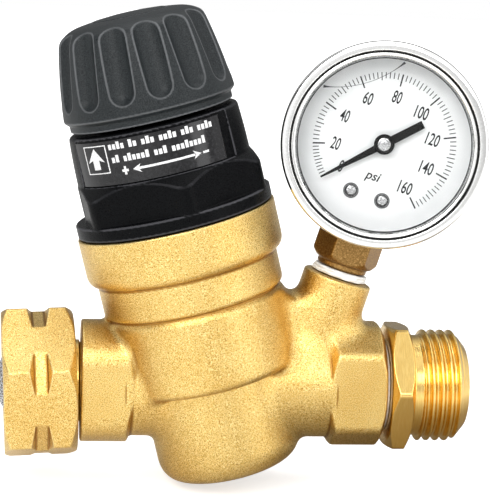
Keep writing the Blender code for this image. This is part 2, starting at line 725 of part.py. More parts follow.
def gauge_socket():
    shaft = turned(
        "gauge_socket",
        [
            (0, 18.0), (4.7, 18.0), (5.0, 18.6), (5.0, 27.2), (4.6, 27.8), (4.6, 29.8), (6.05, 29.8),
            (6.05, 31.4), (5.0, 31.4), (5.0, 40.6), (3.4, 40.6), (3.4, 47.5), (0, 47.5),
        ],
        STEM,
        SMALL,
    )
    corner_r = SOCKET_FLATS / 2 / math.cos(math.radians(30))
    turning = turned(
        "socket_turning",
        [(0, 31.1), (6.6, 31.1), (corner_r, 32.6), (corner_r, 38.9), (0, 38.9)],
        STEM,
        SMALL,
    )
    outline = hexagon(SOCKET_FLATS, front(SOCKET_CORNER))
    flats = common(prism("socket_flats", outline, 31.1, 38.9, STEM), turning)
    block = prism("socket_block", [(-5.6, -15.2), (5.6, -15.2), (5.6, -10.2), (-5.6, -10.2)], -3.5, 3.5, GAUGE)
    holes = [rod("screw_hole", 1.1, 0.5, 5, dial_screw_frame(side), 12) for side in (-1, 1)]
    bore = rod("socket_bore", 1.8, 17, 48.2, STEM, 12)
    keep(cut(join(shaft, flats, block), bore, *holes), "socket_brass")


def dial_screw_frame(side):
    return GAUGE @ Matrix.Translation((side * DIAL_SCREW_X * MM, DIAL_SCREW_Y * MM, 0))


def thread_seal():
    keep(ring("thread_seal", 4.9, 6.65, BOSS_TOP_S + 0.3, 29.5, STEM, SMALL), "seal_white")


def gauge_case():
    back, rim, wall = CASE_BACK_N, CASE_RIM_N, 1.0
    inside = CASE_R - wall
    shell = turned(
        "gauge_case",
        [
            (0, back), (CASE_R - 1.5, back), (CASE_R, back + 1.5), (CASE_R, rim), (inside, rim),
            (inside, back + wall + 1), (inside - 1, back + wall), (0, back + wall),
        ],
        GAUGE,
        FINE,
    )
    stem_hole = rod("stem_hole", 5.4, 36, 45, STEM)
    plug_hole = rod("plug_hole", 2.6, GAUGE_S + 16, GAUGE_S + 25, STEM)
    keep(cut(shell, stem_hole, plug_hole), "steel")
    plug = turned(
        "fill_plug",
        [
            (0, 18.2), (3.0, 18.2), (3.0, 20.0), (2.3, 20.4), (2.3, 22.0), (2.9, 22.1), (2.9, 22.5),
            (1.6, 22.6), (0.6, 23.7), (0, 23.7),
        ],
        STEM @ Matrix.Translation((0, 0, GAUGE_S * MM)),
        SMALL,
    )
    keep(plug, "rubber")


def gauge_front():
    """The bezel, the lens and its gasket, and the dial."""
    front_n, inner = BEZEL_FRONT_N, CASE_R + 0.3
    bezel = turned(
        "gauge_bezel",
        [
            (inner, BEZEL_BACK_N), (BEZEL_R - 0.5, BEZEL_BACK_N), (BEZEL_R, BEZEL_BACK_N + 0.6),
            *arc((BEZEL_R - 2.2, front_n - 2.2), 2.2, 0, 80, 4),
            (WINDOW_R + 1.0, front_n), (WINDOW_R, 12.0), (WINDOW_R, 10.9), (inner, 10.9),
        ],
        GAUGE,
        FINE,
    )
    keep(bezel, "chrome")
    keep(rod("gauge_lens", CASE_R - 0.1, 9.7, 10.6, GAUGE, FINE), "lens_clear")
    keep(ring("lens_gasket", 20.4, CASE_R - 0.1, 8.8, 9.4, GAUGE), "rubber")
    holes = [rod("dial_hole", 1.3, 2, 6, dial_screw_frame(side), 12) for side in (-1, 1)]
    dial = ring("dial_plate", 1.6, DIAL_R, DIAL_N, DIAL_N + 0.5, GAUGE)
    keep(cut(dial, *holes), "dial_white")
    for side, name in ((-1, "dial_screw_left"), (1, "dial_screw_right")):
        screw = turned(
            name, [(0, 0.9), (0.9, 0.9), (0.9, 4.75), (1.5, 4.75), (1.5, 5.1), (0.9, 5.5), (0, 5.5)],
            dial_screw_frame(side), 12,
        )
        keep(screw, "steel")


def pointer():
    """The needle points along its own X axis before it is turned to zero."""
    outline = [(16.5, 0), (9.0, 0.42), (2.0, 0.75)]
    outline += arc((0, 0), 2.1, 22, 158, 6) + [(-5.0, 0.8), (-9.8, 1.0)]
    outline += [(x, -y) for x, y in outline[:0:-1]]
    turn = GAUGE @ Matrix.Rotation(math.radians(ZERO_ANGLE), 4, "Z")
    needle = cut(prism("pointer", outline, 5.9, 6.3, turn), rod("pointer_hole", 0.8, 5, 7, GAUGE, 12))
    keep(needle, "pointer_black", GAUGE)


def gear_outline(teeth, first, last, first_angle):
    """Teeth of a gear of GEAR_MODULE, numbered from the one at first_angle, anticlockwise."""
    pitch_r, pitch = GEAR_MODULE * teeth / 2, 360 / teeth
    root, tip = pitch_r - 1.25 * GEAR_MODULE, pitch_r + 0.85 * GEAR_MODULE
    points = []
    for number in range(first, last + 1):
        middle = first_angle + number * pitch
        flank = ((root, -0.27), (pitch_r, -0.19), (tip, -0.09), (tip, 0.09), (pitch_r, 0.19), (root, 0.27))
        points += [polar(radius, middle + share * pitch) for radius, share in flank]
    return points


def movement():
    """Pinion, toothed sector, plates, pillars and hairspring, between the tube's ends."""
    pivot_x, pivot_y = polar(GEAR_DISTANCE, SECTOR_ANGLE)
    pivot = GAUGE @ Matrix.Translation((pivot_x * MM, pivot_y * MM, 0))
    teeth = gear_outline(PINION_TEETH, 0, PINION_TEETH - 1, SECTOR_ANGLE + 180 / PINION_TEETH)
    arbor = rod("arbor", 0.6, -3.4, 6.8, GAUGE, 8)
    keep(join(prism("pointer_pinion", teeth, -1.3, 0.3, GAUGE), arbor), "steel", GAUGE)
    rack = gear_outline(SECTOR_TEETH, -8, 1, SECTOR_ANGLE + 180)
    tail = polar(3.0, SECTOR_ANGLE - 22)
    body = [polar(2.6, SECTOR_ANGLE + 120), polar(1.7, SECTOR_ANGLE + 60), (tail[0] + 0.6, tail[1] + 0.5)]
    body += [(tail[0] + 0.1, tail[1] - 0.7), polar(1.7, SECTOR_ANGLE - 70), polar(3.0, SECTOR_ANGLE - 150)]
    shaft = rod("sector_arbor", 0.6, -3.4, 1.3, pivot, 8)
    plate = prism("sector_gear", rack + body[::-1], -1.1, 0.1, pivot)
    keep(join(plate, shaft), "machined_brass", pivot)
    link = [(12.9, -5.9), (14.3, -4.9), (13.9, -4.2), (12.4, -5.2)]
    keep(prism("tip_link", link, 0.5, 1.0, GAUGE), "machined_brass", pivot)
    outline = [(-5.5, -9.2), (13.0, -9.2), (13.0, 2.0), (6.0, 5.5), (-5.5, 5.5)]
    places = ((0, 0), (pivot_x, pivot_y))
    for name, low, high in (("movement_back_plate", -4.6, -3.8), ("movement_front_plate", 1.7, 2.5)):
        holes = [
            rod("pivot_hole", 0.9, low - 1, high + 1, GAUGE @ Matrix.Translation((x * MM, y * MM, 0)), 12)
            for x, y in places
        ]
        keep(cut(prism(name, outline, low, high, GAUGE), *holes), "machined_brass")
    for name, (x, y) in (("left_pillar", (-4.0, 3.5)), ("right_pillar", (-4.0, -7.5))):
        frame = GAUGE @ Matrix.Translation((x * MM, y * MM, 0))
        keep(rod(name, 1.1, -3.6, 1.5, frame, 12), "machined_brass")
    turns, per_turn = 2.5, 10
    spiral = [
        (*polar(1.1 + 0.85 * i / per_turn, 360 * i / per_turn), 0.95)
        for i in range(int(turns * per_turn) + 1)
    ]
    keep(wire("hairspring", spiral, 0.11, GAUGE, 0), "spring_steel")


def bourdon_tube():
    """A flattened C-shaped tube from the socket block round to the link."""
    outside = [(16.3, -3.2), (16.3, 0.6), (15.9, 1.0), (15.3, 1.0)]
    section = [(14.9, -3.2), (15.3, -3.6), (15.9, -3.6), *outside, (14.9, 0.6)]
    tube = turned("bourdon_tube", section, GAUGE, FINE)
    mouth = prism("tube_mouth", sector_outline(30, -114, -13), -10, 5, GAUGE)
    keep(cut(tube, mouth), "socket_brass")


def main():
    for obj in list(bpy.data.objects):
        bpy.data.objects.remove(obj)
    for build in (
        body_casting, inlet_tailpiece, inlet_swivel_nut, inlet_seals, outlet_adapter, outlet_seal,
        bonnet, bonnet_label, knob, adjusting_screw, spring_carrier, range_spring, diaphragm_stack,
        valve, seat, gauge_socket, thread_seal, gauge_case, gauge_front, pointer, movement, bourdon_tube,
    ):
        build()


main()
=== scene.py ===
"""The visual model of a water pressure regulator: a cast brass body, a swivel nut, a hose thread, a plastic
bonnet with a grip knob, and a dial gauge. Shapes are given in millimetres and made in metres."""

import json
import math

import bmesh
import bpy
import numpy as np
from mathutils import Matrix, Vector


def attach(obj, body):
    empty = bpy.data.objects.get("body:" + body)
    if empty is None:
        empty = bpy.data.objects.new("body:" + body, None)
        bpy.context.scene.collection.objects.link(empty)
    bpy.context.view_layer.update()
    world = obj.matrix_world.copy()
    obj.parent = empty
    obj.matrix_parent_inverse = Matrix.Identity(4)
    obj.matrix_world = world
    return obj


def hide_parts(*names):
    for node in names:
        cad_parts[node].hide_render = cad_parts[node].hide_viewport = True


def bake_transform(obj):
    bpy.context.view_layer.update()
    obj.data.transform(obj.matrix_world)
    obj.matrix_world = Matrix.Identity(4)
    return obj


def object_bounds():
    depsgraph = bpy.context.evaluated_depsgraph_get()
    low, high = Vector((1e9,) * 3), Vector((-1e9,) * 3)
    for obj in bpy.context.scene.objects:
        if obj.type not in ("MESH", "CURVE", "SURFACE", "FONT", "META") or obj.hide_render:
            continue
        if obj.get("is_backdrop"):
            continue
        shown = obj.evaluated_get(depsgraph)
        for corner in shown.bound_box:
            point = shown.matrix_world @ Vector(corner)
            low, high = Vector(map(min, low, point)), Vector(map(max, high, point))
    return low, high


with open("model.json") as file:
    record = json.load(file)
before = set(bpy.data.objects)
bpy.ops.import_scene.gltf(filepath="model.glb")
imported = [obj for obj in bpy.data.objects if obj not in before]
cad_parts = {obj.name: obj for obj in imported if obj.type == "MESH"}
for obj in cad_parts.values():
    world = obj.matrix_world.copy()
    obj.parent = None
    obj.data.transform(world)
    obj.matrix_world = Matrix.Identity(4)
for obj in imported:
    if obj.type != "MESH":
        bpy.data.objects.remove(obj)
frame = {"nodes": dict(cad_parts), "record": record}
cad_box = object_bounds()

MM = 0.001
COARSE = 1.0
HOSE_PITCH = 2.209  # a hose thread has 11.5 turns to the inch
DIAL_TOP = 4.5  # the dial's printed face, along the gauge's axis
SCREW_ASIDE, SCREW_BELOW = 3.85, 12.8  # a dial screw's place from the dial's middle

# ---------------------------------------------------------------- frames, in millimetres


def frame_of(origin, x_axis, y_axis, z_axis):
    matrix = Matrix((x_axis, y_axis, z_axis)).transposed().to_4x4()
    matrix.translation = Vector(origin)
    return matrix


def leaning_frame(angle, station):
    sine, cosine = math.sin(math.radians(angle)), math.cos(math.radians(angle))
    return frame_of((station, 0, 0), (cosine, 0, -sine), (0, 1, 0), (sine, 0, cosine))


def turn(angle, axis):
    return Matrix.Rotation(math.radians(angle), 4, axis)


def shift(x, y, z):
    return Matrix.Translation((x, y, z))


FLOW = frame_of((0, 0, 0), (0, 0, 1), (0, -1, 0), (1, 0, 0))
NUT = shift(15, 0, 0) @ turn(2.0, "Z") @ turn(-2.4, "Y") @ shift(-15, 0, 0) @ FLOW
AXIS = leaning_frame(-14.6, 50.3)
STEM = leaning_frame(16.8, 71.2)
GAUGE_HEIGHT = 61.2
GAUGE = STEM @ shift(0, 0, GAUGE_HEIGHT) @ turn(-11.0, "Z") @ turn(90, "X")


def local(points, placement):
    """World points as coordinates in a frame."""
    rotation = np.array(placement.to_3x3())
    return (points - np.array(placement.translation)) @ rotation


def around(points, placement):
    """World points as distances from a frame's Z axis and heights along it."""
    p = local(points, placement)
    return np.hypot(p[:, 0], p[:, 1]), p[:, 2]


# ---------------------------------------------------------------- distance fields


def soft_max(a, b, width):
    """The larger of two fields, rounded where they meet."""
    blend = np.maximum(width - np.abs(a - b), 0) / width
    return np.maximum(a, b) + blend * blend * width * 0.25


def soft_min(a, b, width):
    return -soft_max(-a, -b, width)


def slab(h, low, high):
    return np.maximum(low - h, h - high)


def drum(r, h, radius, low, high, rounding=0.5):
    """A round bar between two heights, with rounded ends."""
    return soft_max(r - radius, slab(h, low, high), 1.17 * rounding)


def hole(r, h, radius, low, high):
    """A round bar between two heights, with sharp ends."""
    return np.maximum(r - radius, slab(h, low, high))


def plane(u, v, start, end):
    """Signed distance from a line through two points, negative to its left."""
    along = np.subtract(end, start, dtype=float)
    along /= np.hypot(*along)
    return (u - start[0]) * along[1] - (v - start[1]) * along[0]


def cut(field, u, v, rounding, *slopes):
    """Cuts a field back to lines, each through two points."""
    for start, end in slopes:
        field = soft_max(field, plane(u, v, start, end), rounding)
    return field


def tube(points, start, end, radius):
    """A round bar between two world points on the centre plane, given as (x, z)."""
    low, high = np.array((start[0], 0, start[1])), np.array((end[0], 0, end[1]))
    length = np.linalg.norm(high - low)
    along = (high - low) / length
    offset = points - low
    height = offset @ along
    r = np.linalg.norm(offset - height[:, None] * along, axis=1)
    return hole(r, height, radius, 0, length)


def hexagon(u, v, across_flats, first_corner, rounding=0.5):
    """A hexagonal bar whose first corner is at an angle in degrees."""
    field = np.full(u.shape, -1e3)
    for i in range(3):
        angle = math.radians(first_corner + 30 + 60 * i)
        side = np.abs(u * math.cos(angle) + v * math.sin(angle)) - across_flats / 2
        field = soft_max(field, side, rounding)
    return field


def folded(u, v, count, first):
    """Radial and tangential distances from the nearest of some evenly spaced directions."""
    step = 2 * math.pi / count
    angle = np.arctan2(v, u) - math.radians(first)
    angle = (angle + step / 2) % step - step / 2
    r = np.hypot(u, v)
    return r * np.cos(angle), r * np.sin(angle)


# ---------------------------------------------------------------- meshes


def piece(name, vertices, faces, normals=None):
    mesh = bpy.data.meshes.new(name)
    mesh.from_pydata(np.asarray(vertices, float) * MM, [], faces)
    mesh.update()
    mesh.shade_smooth()
    if normals is not None:
        mesh.normals_split_custom_set_from_vertices(normals)
    obj = bpy.data.objects.new(name, mesh)
    bpy.context.scene.collection.objects.link(obj)
    return obj


def corners_of(size):
    return np.stack(np.meshgrid(*[np.arange(size)] * 3, indexing="ij"), -1).reshape(-1, 3)


def sampled(field, low, high, step):
    """The field on a grid, worked out in full only near the surface."""
    block = 6
    counts = (np.ceil((high - low) / step / block).astype(int) + 1) * block
    centres = [low[i] + step * np.arange(counts[i]).reshape(-1, block).mean(1) for i in range(3)]
    middle = np.stack(np.meshgrid(*centres, indexing="ij"), -1)
    coarse = field(middle.reshape(-1, 3)).reshape(middle.shape[:3])
    values = coarse.repeat(block, 0).repeat(block, 1).repeat(block, 2)
    near = np.argwhere(np.abs(coarse) < step * block * 1.15 + step)
    index = (near[:, None, :] * block + corners_of(block)[None]).reshape(-1, 3)
    for part in np.array_split(index, max(1, len(index) // 400000)):
        values[tuple(part.T)] = field(low + part * step)
    return values


def gradient(field, points, reach=0.02):
    slopes = []
    for i in range(3):
        offset = np.zeros(3)
        offset[i] = reach
        slopes.append((field(points + offset) - field(points - offset)) / (2 * reach))
    return np.stack(slopes, -1)


def curvature(field, points, reach=0.3):
    """How sharply the surface bends: above nought on an edge, below it in a crease."""
    total = -6 * field(points)
    for i in range(3):
        offset = np.zeros(3)
        offset[i] = reach
        total += field(points + offset) + field(points - offset)
    return total / reach**2


def surface(name, field, low, high, step):
    """The closed surface where a field is nought, as quads whose vertices lie on it."""
    low, high, step = np.array(low, float), np.array(high, float), step * COARSE
    values = sampled(field, low, high, step)
    inside = values < 0
    cells = np.zeros(tuple(n - 1 for n in values.shape), np.int8)
    corners = corners_of(2)
    for x, y, z in corners:
        cells += inside[x : x + cells.shape[0], y : y + cells.shape[1], z : z + cells.shape[2]]
    crossed = (cells > 0) & (cells < 8)
    places = np.argwhere(crossed)
    number = np.full(crossed.shape, -1)
    number[crossed] = np.arange(len(places))
    total, count = np.zeros((len(places), 3)), np.zeros((len(places), 1))
    for a in corners:
        for axis in range(3):
            if a[axis]:
                continue
            b = a.copy()
            b[axis] = 1
            va, vb = values[tuple((places + a).T)], values[tuple((places + b).T)]
            change = (va < 0) != (vb < 0)
            share = (va / np.where(change, va - vb, 1))[:, None]
            total += np.where(change[:, None], a + share * (b - a), 0)
            count += change[:, None]
    points = low + (places + total / count) * step
    for _ in range(2):
        slope = gradient(field, points)
        length = np.maximum((slope * slope).sum(1), 0.2)
        move = (field(points) / length)[:, None] * slope
        limit = np.maximum(np.linalg.norm(move, axis=1) / (0.6 * step), 1)
        points = points - move / limit[:, None]
    quads = []
    for axis in range(3):
        second, third = (axis + 1) % 3, (axis + 2) % 3
        first = np.take(inside, range(inside.shape[axis] - 1), axis)
        last = np.take(inside, range(1, inside.shape[axis]), axis)
        for out, order in ((first & ~last, 1), (last & ~first, -1)):
            edge = np.argwhere(out)
            edge = edge[(edge[:, second] > 0) & (edge[:, third] > 0)]
            ring = []
            for back_second, back_third in ((1, 1), (0, 1), (0, 0), (1, 0))[::order]:
                cell = edge.copy()
                cell[:, second] -= back_second
                cell[:, third] -= back_third
                ring.append(number[tuple(cell.T)])
            quads.append(np.stack(ring, 1))
    slope = gradient(field, points, 0.05)
    normals = slope / np.maximum(np.linalg.norm(slope, axis=1), 1e-6)[:, None]
    obj = piece(name, points, np.concatenate(quads), normals)
    bend = obj.data.attributes.new("bend", "FLOAT", "POINT")
    bend.data.foreach_set("value", curvature(field, points).astype(np.float32))
    return obj


def filleted(outline, radius, closed=True):
    """An outline with its corners rounded. A radius may follow the two coordinates of a corner."""
    result, size = [], len(outline)
    for i, corner in enumerate(outline):
        r = corner[2] if len(corner) > 2 else radius
        here = np.array(corner[:2], float)
        if not closed and i in (0, size - 1) or r == 0:
            result.append(tuple(here))
            continue
        before = np.array(outline[i - 1][:2]) - here
        after = np.array(outline[(i + 1) % size][:2]) - here
        reach = min(np.hypot(*before), np.hypot(*after)) / 2
        before, after = before / np.hypot(*before), after / np.hypot(*after)
        half = math.acos(max(-1, min(1, before @ after))) / 2
        if half > 1.5:
            result.append(tuple(here))
            continue
        cut = min(r / math.tan(half), reach)
        for t in np.linspace(0, 1, 6):
            result.append(tuple(here + cut * (before * (1 - t) ** 2 + after * t**2)))
    return result


def lathe(name, outline, placement, rounding=0.3, steps=160, wobble=None):
    """A closed outline of (radius, height) turned about a frame's Z axis, as one closed mesh."""
    outline = filleted(outline, rounding)
    area = sum(a[0] * b[1] - b[0] * a[1] for a, b in zip(outline, outline[1:] + outline[:1]))
    if area < 0:
        outline = outline[::-1]
    shape = bmesh.new()
    rings = []
    for r, h in outline:
        if r < 1e-6:
            rings.append([shape.verts.new((0, 0, h))] * steps)
            continue
        ring = []
        for j in range(steps):
            angle = 2 * math.pi * j / steps
            extra = wobble(angle, h) if wobble else 0
            ring.append(shape.verts.new(((r + extra) * math.cos(angle), (r + extra) * math.sin(angle), h)))
        rings.append(ring)
    for lower, upper in zip(rings, rings[1:] + rings[:1]):
        for j in range(steps):
            k = (j + 1) % steps
            loop = list(dict.fromkeys((lower[j], lower[k], upper[k], upper[j])))
            if len(loop) > 2:
                shape.faces.new(loop)
    return finished(name, shape, placement, 35)


def finished(name, shape, placement, sharp=30):
    """A mesh object from a bmesh in a frame's millimetres."""
    bmesh.ops.transform(shape, matrix=Matrix.Scale(MM, 4) @ placement, verts=shape.verts)
    bmesh.ops.recalc_face_normals(shape, faces=shape.faces)
    mesh = bpy.data.meshes.new(name)
    shape.to_mesh(mesh)
    shape.free()
    mesh.shade_smooth()
    mesh.set_sharp_from_angle(angle=math.radians(sharp))
    obj = bpy.data.objects.new(name, mesh)
    bpy.context.scene.collection.objects.link(obj)
    return obj


def add_slab(shape, outline, low, high):
    """Adds a flat outline with thickness to a bmesh."""
    bottom = [shape.verts.new((x, y, low)) for x, y in outline]
    top = [shape.verts.new((x, y, high)) for x, y in outline]
    shape.faces.new(bottom[::-1])
    shape.faces.new(top)
    for i in range(len(outline)):
        j = (i + 1) % len(outline)
        shape.faces.new((bottom[i], bottom[j], top[j], top[i]))


def bar(left, right, low, high):
    """A rectangle, as an outline."""
    return [(left, low), (right, low), (right, high), (left, high)]


def polar(radius, angle):
    return radius * math.cos(math.radians(angle)), radius * math.sin(math.radians(angle))


# ---------------------------------------------------------------- materials


class Nodes:
    """A node tree that is filled step by step."""

    def __init__(self, tree):
        self.tree = tree

    def add(self, kind, **settings):
        node = self.tree.nodes.new(kind)
        for key, value in settings.items():
            setattr(node, key, value)
        return node

    def link(self, a, b):
        self.tree.links.new(a, b)

    def math(self, operation, a, b):
        node = self.add("ShaderNodeMath", operation=operation)
        for socket, value in zip(node.inputs, (a, b)):
            if isinstance(value, (int, float)):
                socket.default_value = value
            else:
                self.link(value, socket)
        return node.outputs[0]

    def span(self, value, low, high, start=0.3, end=0.7):
        node = self.add("ShaderNodeMapRange")
        for key, number in (("From Min", start), ("From Max", end), ("To Min", low), ("To Max", high)):
            node.inputs[key].default_value = number
        self.link(value, node.inputs["Value"])
        return node.outputs["Result"]

    def ramp(self, value, *stops):
        node = self.add("ShaderNodeValToRGB")
        ramp = node.color_ramp
        while len(ramp.elements) < len(stops):
            ramp.elements.new(0.5)
        for element, (place, colour) in zip(ramp.elements, stops):
            element.position = place
            element.color = (*colour, 1)
        self.link(value, node.inputs["Fac"])
        return node.outputs["Color"]

    def mix(self, share, a, b, kind="MIX"):
        node = self.add("ShaderNodeMix", data_type="RGBA", blend_type=kind)
        for socket, value in ((node.inputs[0], share), (node.inputs[6], a), (node.inputs[7], b)):
            if isinstance(value, float):
                socket.default_value = value
            elif isinstance(value, tuple):
                socket.default_value = (*value, 1)
            else:
                self.link(value, socket)
        return node.outputs[2]


class Finish(Nodes):
    """A procedural material. Noise sizes are in features per millimetre of the object."""

    def __init__(self, name):
        self.material = bpy.data.materials.new(name + "_look")
        self.material.use_nodes = True
        super().__init__(self.material.node_tree)
        self.shader = self.tree.nodes["Principled BSDF"]
        place = self.add("ShaderNodeTexCoord")
        self.space = self.scaled(place.outputs["Object"], (1 / MM, 1 / MM, 1 / MM))

    def scaled(self, source, factors):
        mapping = self.add("ShaderNodeMapping")
        mapping.inputs["Scale"].default_value = factors
        self.link(source, mapping.inputs["Vector"])
        return mapping.outputs["Vector"]

    def set(self, **values):
        for key, value in values.items():
            self.shader.inputs[key.replace("_", " ")].default_value = value

    def noise(self, scale, detail=3.0, stretch=None):
        node = self.add("ShaderNodeTexNoise")
        node.inputs["Scale"].default_value = scale
        node.inputs["Detail"].default_value = detail
        source = self.scaled(self.space, stretch) if stretch else self.space
        self.link(source, node.inputs["Vector"])
        return node.outputs["Fac"]

    def cells(self, scale):
        node = self.add("ShaderNodeTexVoronoi")
        node.inputs["Scale"].default_value = scale
        self.link(self.space, node.inputs["Vector"])
        return node.outputs["Distance"]

    def edges(self, start, end):
        """How far a place is a raised edge, or a crease if the limits are below nought."""
        bend = self.add("ShaderNodeAttribute", attribute_name="bend")
        return self.span(bend.outputs["Fac"], 0, 1, start, end)

    def colour(self, socket):
        self.link(socket, self.shader.inputs["Base Color"])

    def roughness(self, socket):
        self.link(socket, self.shader.inputs["Roughness"])

    def bump(self, height, depth, strength=1.0):
        node = self.add("ShaderNodeBump")
        node.inputs["Distance"].default_value = depth * MM
        node.inputs["Strength"].default_value = strength
        self.link(height, node.inputs["Height"])
        self.link(node.outputs["Normal"], self.shader.inputs["Normal"])


def cast_brass():
    f = Finish("cast_brass")
    grain, broad = f.noise(5.6, 2.0), f.noise(0.09, 2.0)
    dark, middle, light = (0.42, 0.23, 0.045), (0.75, 0.50, 0.14), (1.0, 0.86, 0.45)
    tint = f.ramp(grain, (0.34, dark), (0.50, middle), (0.66, light))
    aged = f.ramp(broad, (0.35, (0.93, 0.88, 0.80)), (0.65, (1.0, 1.0, 1.0)))
    tint = f.mix(1.0, tint, aged, "MULTIPLY")
    # Darker in creases, a painted shade, and paler on raised edges, a painted highlight.
    tint = f.mix(f.math("MULTIPLY", f.edges(-0.25, -1.2), 0.85), tint, (0.32, 0.15, 0.025))
    f.colour(f.mix(f.math("MULTIPLY", f.edges(0.9, 2.6), 0.3), tint, (1.0, 0.86, 0.46)))
    f.roughness(f.span(grain, 0.25, 0.38))
    pits = f.math("ADD", f.noise(3.4, 3.0), f.math("MULTIPLY", f.cells(2.4), -0.35))
    f.bump(pits, 0.12, 0.9)
    f.set(Metallic=1.0)
    return f.material


def machined_brass():
    f = Finish("machined_brass")
    lines = f.noise(1.0, 3.0, (22.0, 0.35, 0.35))
    f.colour(f.ramp(lines, (0.3, (0.80, 0.49, 0.12)), (0.7, (0.98, 0.72, 0.27))))
    f.roughness(f.span(f.noise(0.8, 4.0), 0.12, 0.26))
    f.bump(lines, 0.012, 0.6)
    f.set(Metallic=1.0)
    return f.material


# Brass in dark browns, far darker than the cast body: painted shade for the gauge's shadow on the socket.
def socket_brass():
    f = Finish("socket_brass")
    grain = f.noise(3.0, 4.0)
    dark, middle, light = (0.16, 0.085, 0.025), (0.30, 0.17, 0.055), (0.52, 0.32, 0.12)
    f.colour(f.ramp(grain, (0.3, dark), (0.55, middle), (0.75, light)))
    f.roughness(f.span(grain, 0.28, 0.45))
    f.bump(f.noise(4.0, 3.0), 0.04, 0.6)
    f.set(Metallic=1.0)
    return f.material


def black_plastic(name, dark, light, wear_and_edge_highlight, rough, shine):
    """Moulded plastic with a fine spark-eroded texture, paler along its raised edges: a painted highlight.
    """
    f = Finish(name)
    grain = f.noise(4.5, 2.0)
    base = f.ramp(grain, (0.32, dark), (0.68, light))
    # Raised edges take the third colour: a painted highlight.
    f.colour(f.mix(f.edges(0.6, 1.8), base, wear_and_edge_highlight))
    f.roughness(f.span(grain, rough - 0.08, rough + 0.1))
    f.bump(f.math("ADD", grain, f.math("MULTIPLY", f.cells(3.5), -0.4)), 0.05, 0.7)
    f.set(Specular_IOR_Level=shine)
    return f.material


def label_film():
    f = Finish("label")
    dust = f.noise(1.4, 5.0)
    f.colour(f.ramp(dust, (0.45, (0.006, 0.006, 0.007)), (0.75, (0.020, 0.020, 0.022))))
    f.roughness(f.span(dust, 0.10, 0.22))
    f.bump(f.noise(0.35, 2.0), 0.05, 0.5)
    f.set(Specular_IOR_Level=0.35)
    return f.material


def print_ink(name, colour, wear_and_edge_highlight):
    f = Finish(name)
    f.colour(f.ramp(f.noise(5.0, 3.0), (0.3, wear_and_edge_highlight), (0.6, colour)))
    f.roughness(f.span(f.noise(3.0), 0.4, 0.55))
    f.set(Specular_IOR_Level=0.12)
    return f.material


def metal(name, dark, light, rough, lines=None, depth=0.01):
    f = Finish(name)
    marks = f.noise(2.0, 4.0, lines)
    f.colour(f.ramp(marks, (0.3, dark), (0.7, light)))
    f.roughness(f.span(f.noise(0.7, 3.0), rough * 0.8, rough * 1.3))
    f.bump(marks, depth, 0.5)
    f.set(Metallic=1.0)
    return f.material


def soft_solid(name, dark, light, rough, scale=3.0, depth=0.03, shine=0.4):
    f = Finish(name)
    grain = f.noise(scale, 3.0)
    f.colour(f.ramp(grain, (0.3, dark), (0.7, light)))
    f.roughness(f.span(grain, rough - 0.08, rough + 0.08))
    f.bump(grain, depth, 0.5)
    f.set(Specular_IOR_Level=shine)
    return f.material


def lens():
    """Clear glass that lets light through without bending it, with its reflections on top."""
    f = Finish("lens_clear")
    clear = f.add("ShaderNodeBsdfTransparent")
    shine = f.add("ShaderNodeBsdfGlossy")
    shine.inputs["Roughness"].default_value = 0.02
    smear = f.ramp(f.noise(0.15, 3.0), (0.4, (0.98, 0.985, 0.985)), (0.7, (1.0, 1.0, 1.0)))
    f.link(smear, clear.inputs["Color"])
    fresnel = f.add("ShaderNodeFresnel")
    fresnel.inputs["IOR"].default_value = 1.22
    mix = f.add("ShaderNodeMixShader")
    f.link(fresnel.outputs[0], mix.inputs[0])
    f.link(clear.outputs[0], mix.inputs[1])
    f.link(shine.outputs[0], mix.inputs[2])
    output = next(node for node in f.tree.nodes if node.type == "OUTPUT_MATERIAL")
    f.link(mix.outputs[0], output.inputs["Surface"])
    f.tree.nodes.remove(f.shader)
    return f.material


# Each plastic's colours: dark grain, light grain, and the painted highlight along its raised edges.
KNOB_BLACKS = (0.003, 0.004, 0.005), (0.026, 0.031, 0.033), (0.10, 0.105, 0.11)
BONNET_BLACKS = (0.001, 0.001, 0.0015), (0.005, 0.0055, 0.006), (0.05, 0.05, 0.055)
BLACKS = (0.004, 0.004, 0.004), (0.012, 0.012, 0.012)
RUBBERS = (0.010, 0.010, 0.010), (0.030, 0.030, 0.030)
SEAL_WHITES = (0.74, 0.74, 0.72), (0.90, 0.90, 0.89)
DIAL_WHITES = (0.90, 0.905, 0.905), (0.94, 0.945, 0.945)

LOOKS = {
    "cast_brass": cast_brass(),
    "machined_brass": machined_brass(),
    "socket_brass": socket_brass(),
    "black_plastic": black_plastic("knob_plastic", *KNOB_BLACKS, 0.42, 0.22),
    "label": label_film(),
    "steel": metal("steel", (0.42, 0.42, 0.43), (0.72, 0.72, 0.72), 0.22, (1.0, 1.0, 6.0)),
    "chrome": metal("chrome", (0.80, 0.80, 0.79), (0.90, 0.90, 0.89), 0.06, None, 0.001),
    "spring_steel": metal("spring_steel", (0.25, 0.25, 0.26), (0.45, 0.45, 0.46), 0.35),
    "rubber": soft_solid("rubber", *RUBBERS, 0.6),
    "seal_white": soft_solid("seal_white", *SEAL_WHITES, 0.45, 1.5, 0.08),
    "dial_white": soft_solid("dial_white", *DIAL_WHITES, 0.5, 0.1, 0.004),
    "pointer_black": soft_solid("pointer_black", *BLACKS, 0.4, shine=0.12),
    "lens_clear": lens(),
}
BONNET_PLASTIC = black_plastic("bonnet_plastic", *BONNET_BLACKS, 0.30, 0.05)
INK_WHITE = print_ink("ink_white", (0.85, 0.85, 0.85), (0.45, 0.45, 0.46))
INK_BLACK = print_ink("ink_black", (0.012, 0.012, 0.013), (0.06, 0.06, 0.06))


